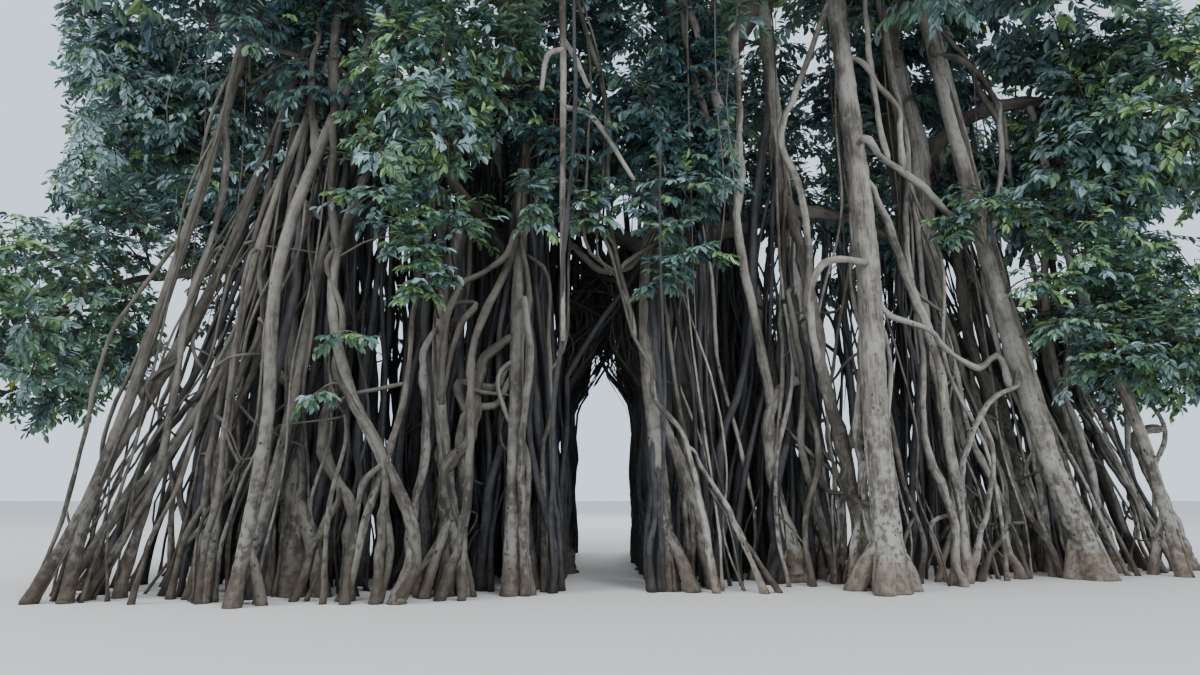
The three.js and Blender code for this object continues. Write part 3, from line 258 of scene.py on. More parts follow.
# Roots with a shape of their own, left to right: radius, then the points from the top down
FEATURE_ROOTS = [
    (0.045, [(-4.65, -2.9, 5.15), (-5.1, -3.0, 3.1), (-5.2, -3.05, 2.6), (-4.9, -3.1, 1.5),
             (-4.8, -3.2, 0.45)]),
    (0.065, [(-4.05, -3.2, 3.65), (-4.7, -3.45, 2.15), (-5.15, -3.65, 1.45), (-5.65, -3.9, 0.45)]),
    (0.057, [(-4.8, -3.6, 1.8), (-5.1, -3.8, 0.95), (-5.45, -4.0, 0.15)]),
    (0.036, [(-5.1, -3.4, 4.45), (-5.4, -3.55, 3.2), (-5.65, -3.6, 2.45)]),
    (0.042, [(-3.8, -3.6, 4.85), (-3.85, -3.85, 2.3), (-3.85, -4.0, 0.8)]),
    (0.09, [(-3.85, -3.0, 4.85), (-3.7, -3.05, 4.2), (-3.7, -3.1, 3.4)]),
    (0.09, [(-3.0, -2.7, 9.55), (-2.9, -2.95, 8.05), (-2.7, -3.2, 5.55)]),
    (0.068, [(-3.2, -2.9, 8.85), (-3.25, -3.0, 7.9), (-3.05, -3.1, 6.75)]),
    (0.16, [(-3.15, -1.5, 8.7), (-2.95, -1.6, 7.85), (-2.85, -1.7, 6.8), (-2.8, -1.8, 4.0)]),
    (0.064, [(-2.7, -3.4, 4.85), (-2.35, -3.6, 3.9), (-2.4, -3.7, 3.2), (-2.05, -3.9, 2.6),
             (-1.55, -4.1, 1.85)]),
    (0.06, [(-1.55, -4.1, 1.85), (-1.2, -4.2, 1.15), (-1.0, -4.35, 0.5), (-1.25, -4.4, 0.0)]),
    (0.054, [(-1.55, -4.1, 1.85), (-1.8, -4.2, 1.55), (-1.85, -4.25, 1.15), (-1.9, -4.4, 0.05)]),
    (0.125, [(-3.15, -3.2, 2.2), (-2.95, -3.4, 0.05)]),
    (0.08, [(-3.45, -3.2, 2.2), (-3.25, -3.4, 0.05)]),
    (0.1, [(-2.55, -3.6, 2.2), (-2.3, -3.7, 1.55), (-2.05, -3.8, 1.25)]),
    (0.063, [(-2.25, -3.8, 1.35), (-2.4, -3.95, 0.9), (-2.65, -4.1, 0.1)]),
    (0.06, [(0.05, -3.0, 5.4), (-0.05, -3.05, 5.05), (-0.4, -3.1, 4.75), (-0.7, -3.2, 4.55),
            (-0.9, -3.25, 4.0), (-0.95, -3.3, 3.25)]),
    (0.057, [(-0.8, -3.5, 0.9), (-1.0, -3.7, 0.5), (-1.3, -3.9, 0.0)]),
    (0.074, [(-1.15, -3.1, 3.8), (-1.25, -3.2, 3.4), (-1.15, -3.25, 2.15), (-1.3, -3.4, 0.75),
             (-1.2, -3.5, 0.45)]),
    (0.052, [(-0.5, -3.1, 4.25), (-0.7, -3.15, 3.95), (-0.85, -3.2, 3.4)]),
    (0.066, [(0.25, -3.1, 4.3), (0.35, -3.2, 3.3), (0.25, -3.3, 2.15), (0.35, -3.5, 0.1)]),
    (0.045, [(-0.15, -3.0, 3.15), (0.0, -3.05, 2.55), (0.3, -3.1, 2.05)]),
    (0.11, [(-0.4, -2.9, 3.4), (-0.45, -3.05, 2.65), (-0.6, -3.15, 2.1), (-0.8, -3.3, 1.85)]),
    (0.06, [(-0.2, -2.9, 3.0), (-0.75, -3.0, 3.05)]),
    (0.06, [(-0.15, -2.9, 2.75), (-0.6, -3.1, 2.6)]),
    (0.046, [(0.55, -2.6, 4.85), (0.6, -2.65, 3.65), (0.65, -2.75, 2.5), (0.55, -2.8, 2.2)]),
    (0.03, [(0.8, -3.0, 6.3), (1.05, -2.95, 6.1), (1.5, -2.85, 5.3), (1.8, -2.75, 4.2), (2.05, -2.7, 3.5)]),
    (0.047, [(2.35, -2.5, 5.4), (1.95, -2.55, 5.15), (1.7, -2.65, 4.85), (1.9, -2.7, 4.15)]),
    (0.053, [(2.25, -2.6, 2.85), (2.65, -2.8, 2.3), (2.9, -3.0, 1.2), (3.05, -3.2, 0.1)]),
    (0.039, [(2.7, -2.5, 2.05), (2.7, -2.6, 1.2), (2.75, -2.7, 0.3)]),
    (0.045, [(2.9, -2.7, 1.9), (3.35, -2.85, 1.1), (3.7, -3.2, 0.15)]),
    (0.038, [(3.05, -2.7, 1.5), (3.45, -2.9, 0.85)]),
    (0.135, [(4.35, -1.3, 2.95), (4.3, -1.4, 1.65), (4.5, -1.6, 0.45)]),
    (0.072, [(2.85, -2.2, 9.25), (3.0, -2.2, 8.4), (3.35, -2.2, 7.25)]),
    (0.072, [(3.1, -2.1, 9.25), (3.25, -2.1, 8.6), (3.55, -2.1, 7.5)]),
    (0.065, [(3.75, -2.0, 9.95), (3.75, -2.0, 9.05), (3.8, -2.05, 8.2), (3.7, -2.1, 6.0)]),
    (0.067, [(5.65, -1.3, 10.4), (4.85, -1.5, 8.35), (4.55, -1.7, 7.5), (4.8, -1.8, 6.65), (4.95, -1.85, 5.4),
             (4.85, -1.9, 4.45)]),
    (0.07, [(5.6, -2.6, 5.05), (5.2, -2.75, 5.05), (4.85, -2.9, 4.9), (4.7, -2.8, 4.5), (4.78, -2.55, 3.8),
            (5.0, -2.2, 3.1)]),
    (0.115, [(4.82, -0.9, 6.6), (4.86, -1.6, 5.4), (4.95, -2.0, 4.2), (5.1, -2.1, 2.9), (5.33, -2.1, 1.8),
             (5.5, -2.1, 0.9), (5.58, -2.2, 0.1)]),
    (0.06, [(4.55, -1.9, 4.6), (4.75, -1.85, 3.3), (4.7, -1.8, 2.2), (4.95, -1.9, 0.9)]),
    (0.074, [(5.9, -2.3, 7.25), (6.15, -2.0, 7.1), (7.1, -1.45, 6.7), (7.55, -1.2, 6.35), (8.0, -1.0, 6.1),
             (8.4, -0.78, 5.7)]),
    (0.058, [(6.2, -1.6, 10.2), (6.2, -1.65, 9.25), (6.3, -1.8, 7.45)]),
    (0.066, [(6.1, -1.7, 8.9), (6.35, -1.65, 8.5), (6.65, -1.65, 8.1), (6.7, -1.6, 7.6)]),
    (0.17, [(7.35, 0.2, 10.95), (7.4, 0.15, 9.55), (7.6, 0.05, 8.25), (7.65, 0.0, 6.95), (7.7, 0.0, 4.5)]),
    (0.077, [(9.1, -1.3, 1.45), (9.3, -1.3, 0.6), (9.35, -1.3, 0.0)]),
    (0.07, [(7.65, -0.9, 9.5), (8.0, -0.9, 9.45), (8.35, -0.85, 9.3), (8.7, -0.8, 8.9), (8.85, -0.8, 8.35)]),
    (0.061, [(7.9, -0.9, 9.9), (8.3, -0.85, 9.4), (8.55, -0.85, 8.7), (8.85, -0.8, 8.15)]),
    (0.082, [(6.25, -1.6, 6.35), (6.65, -1.7, 4.9), (7.0, -1.75, 3.7), (7.15, -1.8, 1.9), (7.2, -1.9, 0.35)]),
    (0.14, [(8.3, 0.2, 6.25), (8.4, 0.15, 4.3), (8.7, 0.1, 2.95), (8.85, 0.0, 0.2)]),
    (0.058, [(6.0, -2.4, 4.25), (6.75, -2.1, 4.05), (7.2, -1.75, 3.75), (7.85, -1.4, 3.5),
             (8.35, -1.1, 3.75)]),
    (0.059, [(8.5, -1.3, 3.2), (8.1, -1.35, 3.0), (7.5, -1.45, 2.05), (7.3, -1.55, 1.1), (7.1, -1.6, 0.65)]),
    (0.059, [(8.0, -1.4, 2.05), (7.8, -1.45, 1.15), (7.4, -1.6, 0.15)]),
    (0.055, [(8.2, -1.3, 1.0), (7.75, -1.5, 0.35)]),
    (0.042, [(6.85, -1.5, 0.9), (6.95, -1.7, 0.0)]),
    (0.044, [(8.8, -0.8, 1.75), (8.9, -0.85, 1.15), (9.1, -0.9, 0.4)]),
    (0.065, [(10.05, 0.2, 2.3), (10.55, 0.1, 1.0), (10.55, 0.0, 0.3)]),
    (0.066, [(10.8, 0.4, 1.9), (11.05, 0.35, 0.85), (11.25, 0.3, 0.35)]),
    (0.12, [(11.6, 0.6, 2.45), (12.0, 0.55, 1.25), (12.15, 0.4, 0.35)]),
    (0.048, [(12.2, 0.6, 2.6), (11.9, 0.55, 1.8), (11.75, 0.5, 0.75)]),
    (0.047, [(-5.35, -2.6, 9.4), (-4.05, -2.55, 8.75), (-3.0, -2.45, 8.4), (-1.95, -2.4, 7.6)]),
    (0.038, [(-4.3, -2.8, 8.0), (-4.05, -2.75, 8.2), (-3.7, -2.75, 8.4), (-3.4, -2.7, 8.45)]),
]

# Pale roots that lead on from two of those, and brown ones, most of which hang over the passage
FURTHER_ROOTS = [
    (0.078, [(3.76, -2.06, 7.1), (3.7, -2.1, 6.0), (3.85, -1.9, 4.9), (4.1, -1.55, 3.9), (4.28, -1.35, 3.1)]),
    (0.066, [(8.87, -0.8, 8.5), (8.8, -0.8, 7.3), (8.6, -0.78, 6.2)]),
]
OVER_PASSAGE_ROOTS = [
    (0.13, [(-2.82, -1.75, 4.6), (-2.8, -1.8, 4.0), (-2.7, -2.1, 2.0), (-2.85, -2.4, 0.3)]),
    (0.048, [(1.5, -2.8, 7.6), (1.54, -2.75, 5.8), (1.68, -2.7, 4.95), (1.88, -2.7, 4.3)]),
    (0.024, [(1.24, -2.9, 8.3), (1.2, -2.92, 6.6), (1.22, -2.9, 5.15)]),
    (0.02, [(1.46, -3.0, 7.9), (1.44, -3.0, 6.2), (1.38, -3.0, 5.0)]),
    (0.03, [(0.98, -2.5, 7.4), (0.9, -2.5, 5.2), (0.84, -2.55, 3.7)]),
    (0.055, [(2.3, -2.3, 5.75), (1.9, -2.35, 5.05), (1.45, -2.2, 5.0), (0.9, -2.1, 5.5)]),
]

# The stand of roots as seen from above: its front and back edge, how much the roots at each place lean
# to the right for each metre they rise, and the stretches that it falls into
FRONT_EDGE = np.array([(-6.4, -4.2), (-3.2, -4.7), (-1.2, -4.3), (0.5, -3.5), (2.2, -3.1), (3.7, -3.1),
                       (4.6, -2.4), (5.6, -3.2), (7.2, -2.0), (9.6, -1.4), (12.2, 0.2)]).T
BACK_EDGE = np.array([(-6.4, 1.4), (-5.0, 3.4), (-1.5, 4.8), (3.0, 5.0), (7.0, 4.8), (10.0, 4.2),
                      (12.2, 2.2)]).T
LEAN_RIGHT = np.array([(-6.4, 0.38), (-5.0, 0.3), (-3.6, 0.04), (-1.0, -0.03), (2.2, 0.0), (5.0, 0.03),
                       (7.5, -0.1), (9.6, -0.2), (12.2, -0.28)]).T
STRETCHES = [(-6.4, -3.4), (-3.4, 0.75), (2.15, 5.2), (5.2, 12.2)]


# Courses and limbs, shaped as in the CAD model
COURSE_DIVISIONS = 200
TANGENT_STEP = 2e-3
FLARE_FADE = 2.2
RIDGE_HEIGHT = 0.3
LEG_RADIUS = (0.75, 0.6)
LEG_FLARE = 0.15
KNEE_RISE = 0.12
STEEP = 0.6


def unit(vectors):
    return vectors / np.maximum(np.linalg.norm(vectors, axis=-1, keepdims=True), 1e-9)


def to_the_right(tangent):
    """The way across each upright tangent that points to the right."""
    return unit(RIGHT - tangent * (tangent @ RIGHT)[:, None])


def random_source(step):
    return np.random.default_rng(SEED + SEED_STEP * step)


class Course:
    """A smooth line through points, with places on it given as a share of its length."""

    def __init__(self, points):
        self.points = np.array(points, float)
        self.steps = np.linspace(0, 1, COURSE_DIVISIONS + 1)
        spans = np.linalg.norm(np.diff(self.raw(self.steps), axis=0), axis=1)
        self.reached = np.concatenate([[0], np.cumsum(spans)])
        self.length = self.reached[-1]

    def raw(self, place):
        """Centripetal spline, evenly spread over the spans between the points."""
        points = self.points
        ends = np.vstack([2 * points[0] - points[1], points, 2 * points[-1] - points[-2]])
        place = np.clip(place, 0, 1) * (len(points) - 1)
        index = np.minimum(place.astype(int), len(points) - 2)
        part = (place - index)[:, None]
        before, start, end, after = (ends[index + step] for step in range(4))
        gap_before, gap, gap_after = (np.linalg.norm(run, axis=1, keepdims=True) ** 0.5
                                      for run in (start - before, end - start, after - end))
        leave = (start - before) / gap_before - (end - before) / (gap_before + gap) + (end - start) / gap
        arrive = (end - start) / gap - (after - start) / (gap + gap_after) + (after - end) / gap_after
        leave, arrive = leave * gap, arrive * gap
        curve = start + leave * part
        curve += (3 * end - 3 * start - 2 * leave - arrive) * part**2
        curve += (2 * start - 2 * end + leave + arrive) * part**3
        return curve

    def at(self, share):
        return self.raw(np.interp(np.atleast_1d(share) * self.length, self.reached, self.steps))

    def evenly(self, count, first=0, last=1):
        return self.at(np.linspace(first, last, count))

    def tangent(self, share):
        share = np.atleast_1d(share)
        before, after = (self.at(np.clip(share + step, 0, 1)) for step in (-TANGENT_STEP, TANGENT_STEP))
        return unit(after - before)

    def at_height(self, height):
        return self.at(np.interp(height, self.at(self.steps)[:, 2], self.steps))[0]


class Limb:
    """A course with a radius at each end, as the CAD model has it."""

    def __init__(self, points, radius, flare=0.0, ridges=0, rooted=False):
        self.course = Course(points)
        self.radius, self.flare, self.ridges, self.rooted = radius, flare, ridges, rooted
        self.mean_radius = sum(radius) / 2
        chord = self.course.points[-1] - self.course.points[0]
        self.upright = abs(chord[2]) > STEEP * np.linalg.norm(chord)

    def radius_at(self, share, angle=0.0):
        start, end = self.radius
        fade = np.exp(-share * self.course.length / (FLARE_FADE * start))
        ridge = RIDGE_HEIGHT * fade * np.cos(self.ridges * angle) if self.ridges else 0
        return (start + (end - start) * share) * (1 + self.flare * fade + ridge)

    def bend(self, share, right, front):
        """Places of points that lie beside a straight limb, once it follows its course."""
        normal = self.course.tangent(share)
        if self.rooted:
            near = np.clip(1 - share * self.course.length / (2 * self.radius[0]), 0, 1)[:, None] ** 2
            normal = unit(normal * (1 - near) + UP * near)
        across = to_the_right(normal) if self.upright else unit(np.cross(UP, normal))
        other = np.cross(across, normal)
        scale = (self.radius_at(share, np.arctan2(right, front)) / self.mean_radius)[:, None]
        place = self.course.at(share) + scale * (across * right[:, None] + other * front[:, None])
        if self.rooted:
            place[:, 2] = np.maximum(place[:, 2], 0)
        return place


# The limbs that carry roots and leaves, by name
limbs = {}


# Materials: for each bark its dark, middle and pale colour, its dust, how deep its furrows are and how
# pitted it is; for each leaf its colour and roughness
BARKS = {
    "bark": ((0.035, 0.028, 0.021), (0.085, 0.07, 0.055), (0.15, 0.13, 0.107), (0.17, 0.157, 0.135),
             0.02, 0.5),
    "root_bark": ((0.055, 0.046, 0.036), (0.175, 0.153, 0.126), (0.29, 0.262, 0.225), (0.33, 0.31, 0.275),
                  0.014, 0.8),
    # Grey root bark: partly the roots' own duller tone, partly painted shade for the middle of the stand
    "root_bark_grey": ((0.036, 0.03, 0.024), (0.102, 0.088, 0.072), (0.172, 0.153, 0.129), (0.2, 0.185, 0.16),
                       0.013, 0.7),
    "root_bark_brown": ((0.024, 0.019, 0.014), (0.066, 0.054, 0.042), (0.117, 0.1, 0.08),
                        (0.138, 0.125, 0.105), 0.012, 0.5),
    # Shaded root bark: the root bark darker and greyer, painted shade for the roots inside the stand, by the
    # passage and at the back
    "root_bark_shaded": ((0.013, 0.013, 0.014), (0.031, 0.03, 0.031), (0.052, 0.05, 0.051),
                         (0.058, 0.057, 0.058), 0.01, 0.5),
    "twig_bark": ((0.03, 0.026, 0.018), (0.07, 0.06, 0.042), (0.12, 0.105, 0.08), (0.13, 0.12, 0.1),
                  0.003, 0.5),
}
LEAF_COLOURS = {
    # Deep leaves: the leaves' own dark green made darker and bluer, painted shade
    "leaf_deep": ((0.038, 0.082, 0.088), 0.38),
    "leaf_dark": ((0.078, 0.146, 0.122), 0.35),
    "leaf_green": ((0.118, 0.21, 0.128), 0.37),
    "leaf_fresh": ((0.19, 0.31, 0.115), 0.42),
    # Pale blue-green leaves: painted sheen, the sky reflected in glossy leaves
    "leaf_painted_sheen": ((0.25, 0.36, 0.36), 0.3),
    "leaf_yellow": ((0.5, 0.38, 0.05), 0.5),
}
YELLOW_LEAF = 5
YELLOW_SHARE = 0.0008
LEAF_GLOSS = 0.6

# Shares of the deep, dark, green, fresh and sheen leaves; the sheen leaves are pale blue-green, a painted
# sheen of sky reflected in glossy leaves
TONES = {
    "plain": (0.1, 0.32, 0.28, 0.07, 0.23),
    # The shaded tone, mostly deep leaves, is painted shade for masses and shoots that hang in the crown's
    # shade
    "shaded": (0.56, 0.32, 0.08, 0.01, 0.03),
    "fresh": (0.05, 0.26, 0.37, 0.18, 0.14),
    "painted_sheen": (0.05, 0.2, 0.14, 0.04, 0.57),
}

# Layers of bark: where each begins and ends in its pattern, and how strong it is there
SCARS = (0.56, 0.7, 0, 0.35)
DUSTY_BLOTCHES = (0.46, 0.6, 0, 0.75)
DARK_BLOTCHES = (0.34, 0.44, 0.7, 0)
DUSTY_MOTTLE = (0.53, 0.6, 0, 0.7)
DARK_MOTTLE = (0.4, 0.47, 0.75, 0)
SOIL = (0.0, 0.3, 0.6, 0)
HOLES = (0.12, 0.24, 1, 0)
STRANDS_IN_WOOD = (0.3, 0.7, 0.3, 0.7)
WOOD_STOPS = (0.36, 0.5, 0.62)
STRAND_STOPS = (0.35, 0.52, 0.7)
RARER_ABOVE = -0.03
SOIL_EDGE = -0.7
MOTTLE_RELIEF = 0.5
PIT_RELIEF = -0.9

# Patterns in bark: how many to the metre, their detail, and their stretch across and along the limb
BARK_PATTERNS = {
    "furrows": (34, 5, (1, 1, 0.07)),
    "strands": (9, 3, (1, 1, 0.12)),
    "blotches": (1.7, 6, (1, 1, 0.6)),
    "scars": (3.5, 3, (1, 1, 8)),
    "grit": (60, 4),
    "crowds": (2.6, 3),
    "mottle": (13, 5, (1, 1, 0.6)),
}
BARK_ROUGHNESS = 0.86
BARK_RELIEF = 0.9
PITS_PER_METRE = 12
PIT_LIMITS = (0.54, 0.66)
PIT_SHIFT = 0.16
PIT_SHADE = 0.35
SOIL_TINT = (0.75, 0.6, 0.48)
WEATHERED_BELOW = {"From Min": 0.4, "From Max": 3.4, "To Min": 1.0, "To Max": 0.35}


class Finish:
    """A material and its nodes. Inputs are given by name or number, each as a socket or a plain value."""

    def __init__(self, name, roughness):
        self.material = bpy.data.materials.new(name)
        self.material.use_nodes = True
        self.tree = self.material.node_tree
        self.shader = self.tree.nodes["Principled BSDF"]
        self.fill(self.shader, {"Roughness": roughness})

    def fill(self, node, inputs):
        for name, value in inputs.items():
            socket = node.inputs[name]
            if isinstance(value, bpy.types.NodeSocket):
                self.tree.links.new(value, socket)
            else:
                socket.default_value = (*value, 1) if socket.type == "RGBA" else value

    def node(self, kind, output, inputs, **settings):
        node = self.tree.nodes.new("ShaderNode" + kind)
        for name, value in settings.items():
            setattr(node, name, value)
        self.fill(node, inputs)
        return node.outputs[output]

    def stretched(self, source, stretch=(1, 1, 1)):
        return self.node("Mapping", "Vector", {"Vector": source, "Scale": stretch})

    def noise(self, source, scale, detail, *stretch):
        inputs = {"Vector": self.stretched(source, *stretch), "Scale": scale, "Detail": detail}
        return self.node("TexNoise", "Fac", inputs)

    def ramp(self, source, *stops):
        colour = self.node("ValToRGB", "Color", {"Fac": source})
        elements = colour.node.color_ramp.elements
        while len(elements) < len(stops):
            elements.new(0.5)
        for element, (position, shade) in zip(elements, stops):
            element.position = position
            element.color = (*shade, 1)
        return colour

    def greys(self, source, start, end, first, last):
        """A share that goes from first to last while the source goes from start to end."""
        return self.ramp(source, (start, (first,) * 3), (end, (last,) * 3))

    def mix(self, share, first, second):
        return self.node("Mix", "Result", {"Factor": share, "A": first, "B": second}, data_type="RGBA")

    def product(self, first, second):
        return self.node("Math", "Value", {0: first, 1: second}, operation="MULTIPLY")

    def multiply_add(self, source, factor, added):
        return self.node("Math", "Value", {0: source, 1: factor, 2: added}, operation="MULTIPLY_ADD")


def bark_material(name, dark, middle, pale, dust, furrow_depth, pitted):
    """Bark with long fine furrows, faint ring scars, pale blotches and dark pits, browner at the foot."""
    bark = Finish(name, BARK_ROUGHNESS)
    along = bark.node("Attribute", "Vector", {}, attribute_name="grain")
    height = bark.node("SeparateXYZ", "Z", {"Vector": bark.node("TexCoord", "Object", {})})
    weathered = bark.node("MapRange", "Result", {"Value": height, **WEATHERED_BELOW})
    pattern = {kind: bark.noise(along, *row) for kind, row in BARK_PATTERNS.items()}
    blotches, mottle, crowds = pattern["blotches"], pattern["mottle"], pattern["crowds"]
    holes = bark.node("TexVoronoi", "Distance",
                      {"Vector": bark.stretched(along, (1, 1, 0.6)), "Scale": PITS_PER_METRE})
    rarer_above = bark.multiply_add(height, RARER_ABOVE, crowds)
    crowded = bark.greys(rarer_above, *(limit - PIT_SHIFT * pitted for limit in PIT_LIMITS), 0, 1)
    pits = bark.product(bark.greys(holes, *HOLES), crowded)
    wood = bark.ramp(pattern["furrows"], *zip(WOOD_STOPS, (dark, middle, pale)))
    tint = bark.ramp(pattern["strands"], *zip(STRAND_STOPS, (dark, middle, pale)))
    colour = bark.mix(bark.greys(pattern["grit"], *STRANDS_IN_WOOD), wood, tint)
    layers = [
        (bark.greys(pattern["scars"], *SCARS), dark),
        (bark.greys(blotches, *DUSTY_BLOTCHES), dust),
        (bark.greys(blotches, *DARK_BLOTCHES), dark),
        (bark.product(bark.greys(mottle, *DUSTY_MOTTLE), weathered), dust),
        (bark.product(bark.greys(mottle, *DARK_MOTTLE), weathered), dark),
        (pits, [PIT_SHADE * share for share in dark]),
        (bark.greys(bark.multiply_add(crowds, SOIL_EDGE, height), *SOIL),
         [tint * share for tint, share in zip(SOIL_TINT, middle)]),
    ]
    for share, laid_on in layers:
        colour = bark.mix(share, colour, laid_on)
    pitted_relief = bark.multiply_add(pits, PIT_RELIEF, pattern["furrows"])
    relief = bark.multiply_add(mottle, MOTTLE_RELIEF, pitted_relief)
    bump = bark.node("Bump", "Normal", {"Strength": BARK_RELIEF, "Distance": furrow_depth, "Height": relief})
    bark.fill(bark.shader, {"Base Color": colour, "Normal": bump})
    return bark.material


def cut_wood_material():
    """Pale end grain where an arm was sawn off."""
    wood = Finish("cut_wood", 0.8)
    rings = wood.noise(wood.node("Attribute", "Vector", {}, attribute_name="grain"), 60, 3)
    colour = wood.ramp(rings, (0.3, (0.34, 0.27, 0.19)), (0.7, (0.55, 0.47, 0.36)))
    wood.fill(wood.shader, {"Base Color": colour})
    return wood.material


def leaf_material(name, colour, roughness):
    leaf = Finish(name, roughness)
    leaf.fill(leaf.shader, {"Base Color": colour, "Specular IOR Level": LEAF_GLOSS})
    return leaf.material


BARK, *ROOT_BARKS, TWIG_BARK = [bark_material(name, *finish) for name, finish in BARKS.items()]
PALE, GREY, BROWN, SHADED = range(4)
CUT_WOOD = cut_wood_material()
LEAVES = [leaf_material(name, *finish) for name, finish in LEAF_COLOURS.items()]

# Limbs: a blank is carved while it is this many times shorter than the limb, so that furrows come out
# long, and each blank stands higher than the last, so that no two are carved alike
FURROW_STRETCH = 9.0
BLANK_GAP = 7.3
LEG_GAP = 0.3
FACET = 0.042
SIDES = (10, 84)
RING_STEP = 0.075
RINGS = (6, 170)
MOST_CUTS = 90
FLARE_CROWDING = 1.2

# Relief: size, depth as a share of the limb's radius, and greatest depth; flutes have a size as a share
FLUTE_SIZE = 0.68
TRUNK_FLUTES = 0.3
BOUGH_FLUTES = 0.15
FURROWS = [(0.16, 0.3, 0.09), (0.05, 0.16, 0.03)]
KNOBS = [(0.22, 0.25, 1.0), (0.055, 0.14, 0.022)]

# Numbers of the first bough, prop and hanging root, each of which gives a limb a relief of its own
FIRST_BOUGH = 10
FIRST_PROP = 30
HANGING_NUMBER = 60

# Prop roots left of these places are brown and grey; the rest are pale. The grey is partly the roots' own
# duller tone and partly painted shade for the shadier middle of the stand
BROWN_PROPS_LEFT_OF = -3.9
GREY_LEFT_OF = 2.9


def select_upright_edges(piece, least):
    mesh = bmesh.from_edit_mesh(piece.data)
    for edge in mesh.edges:
        edge.select_set(False)
    for edge in mesh.edges:
        low, high = edge.verts
        if abs(high.co.z - low.co.z) > least:
            edge.select_set(True)
    bmesh.update_edit_mesh(piece.data)


def ring_cuts(piece, length, rings):
    """Cuts a straight blank into rings, in two goes where there are many."""
    bpy.ops.object.mode_set(mode="EDIT")
    bpy.ops.mesh.select_mode(type="EDGE")
    second = max(1, math.ceil(rings / MOST_CUTS))
    first = max(2, math.ceil(rings / second))
    for spans, cuts in ((1, first), (first, second)):
        if cuts > 1:
            select_upright_edges(piece, 0.5 * length / spans)
            bpy.ops.mesh.subdivide(number_cuts=cuts - 1)
    bpy.ops.object.mode_set(mode="OBJECT")


def carve(piece, size, depth):
    texture = bpy.data.textures.new("relief", "CLOUDS")
    texture.noise_scale = size
    relief = piece.modifiers.new("relief", "DISPLACE")
    relief.texture = texture
    relief.texture_coords = "LOCAL"
    relief.direction = "NORMAL"
    relief.mid_level = 0.5
    relief.strength = depth
    bpy.ops.object.modifier_apply(modifier=relief.name)
    bpy.data.textures.remove(texture)


def coordinates(piece):
    places = np.empty(len(piece.data.vertices) * 3, np.float32)
    piece.data.vertices.foreach_get("co", places)
    return places.reshape(-1, 3).astype(float)


def set_coordinates(piece, places):
    piece.data.vertices.foreach_set("co", places.astype(np.float32).ravel())
    piece.data.update()


def set_grain(mesh, grain):
    attribute = mesh.attributes.new("grain", "FLOAT_VECTOR", "POINT")
    attribute.data.foreach_set("vector", grain.astype(np.float32).ravel())


def carved_limb(limb, number, flutes):
    """A straight blank is cut into rings, carved with furrows and knobs, and bent on its course."""
    mean, length = limb.mean_radius, limb.course.length
    short = length / FURROW_STRETCH
    start = BLANK_GAP * number
    sides = int(np.clip(2 * math.pi * mean / FACET, *SIDES))
    bpy.ops.mesh.primitive_cylinder_add(vertices=sides, radius=mean, depth=short, end_fill_type="TRIFAN",
                                        location=(0, 0, start + short / 2))
    piece = bpy.context.object
    bpy.ops.object.transform_apply(location=True)
    ring_cuts(piece, short, int(np.clip(length / RING_STEP, *RINGS)))
    share = np.clip((coordinates(piece)[:, 2] - start) / short, 0, 1)
    if flutes:
        carve(piece, FLUTE_SIZE * mean, flutes * mean)
    for size, depth, deepest in FURROWS:
        carve(piece, size, min(depth * mean, deepest))
    stretched = coordinates(piece)
    stretched[:, 2] = start + share * length
    set_coordinates(piece, stretched)
    for size, depth, deepest in KNOBS:
        carve(piece, size, min(depth * mean, deepest))
    front, right = coordinates(piece)[:, :2].T
    angle = np.arctan2(right, front)
    grain = np.stack([mean * np.cos(angle), mean * np.sin(angle), share * length], axis=1)
    set_grain(piece.data, grain + start)
    set_coordinates(piece, limb.bend(share**FLARE_CROWDING if limb.flare else share, right, front))
    return piece


def joined(pieces, name):
    bpy.ops.object.select_all(action="DESELECT")
    for piece in pieces:
        piece.select_set(True)
    bpy.context.view_layer.objects.active = pieces[0]
    if len(pieces) > 1:
        bpy.ops.object.join()
    piece = bpy.context.view_layer.objects.active
    bpy.ops.object.shade_smooth()
    piece.name = piece.data.name = name
    bpy.ops.object.select_all(action="DESELECT")
    return piece


def hand_in(piece, node=None):
    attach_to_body(piece, "root")
    if node:
        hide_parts(node)


def make_limb(name, number, materials, limb, others=(), flutes=0.0):
    pieces = [carved_limb(limb, number, flutes)]
    for step, other in enumerate(others):
        pieces.append(carved_limb(other, number + LEG_GAP * (step + 1), 0.0))
    piece = joined(pieces, name + "_bark")
    for material in materials:
        piece.data.materials.append(material)
    hand_in(piece, name)
    return piece


def make_trunks_and_boughs():
    for number, (name, (radius, flare, ridges, path)) in enumerate(TRUNKS.items()):
        limbs[name] = Limb(path, radius, flare, ridges, rooted=True)
        make_limb(name, number, [BARK], limbs[name], flutes=TRUNK_FLUTES)
    for number, (name, (radius, path)) in enumerate(BOUGHS.items(), FIRST_BOUGH):
        limbs[name] = Limb(path, radius)
        make_limb(name, number, [BARK], limbs[name], flutes=BOUGH_FLUTES)


def leg_of(prop, leg):
    x, y, height = leg
    joint = prop.course.at_height(height)
    foot = np.array([x, y, 0.0])
    knee = (foot + joint) / 2 + UP * KNEE_RISE * joint[2]
    radius = tuple(share * prop.radius[0] for share in LEG_RADIUS)
    return Limb([foot, knee, joint], radius, LEG_FLARE, rooted=True)


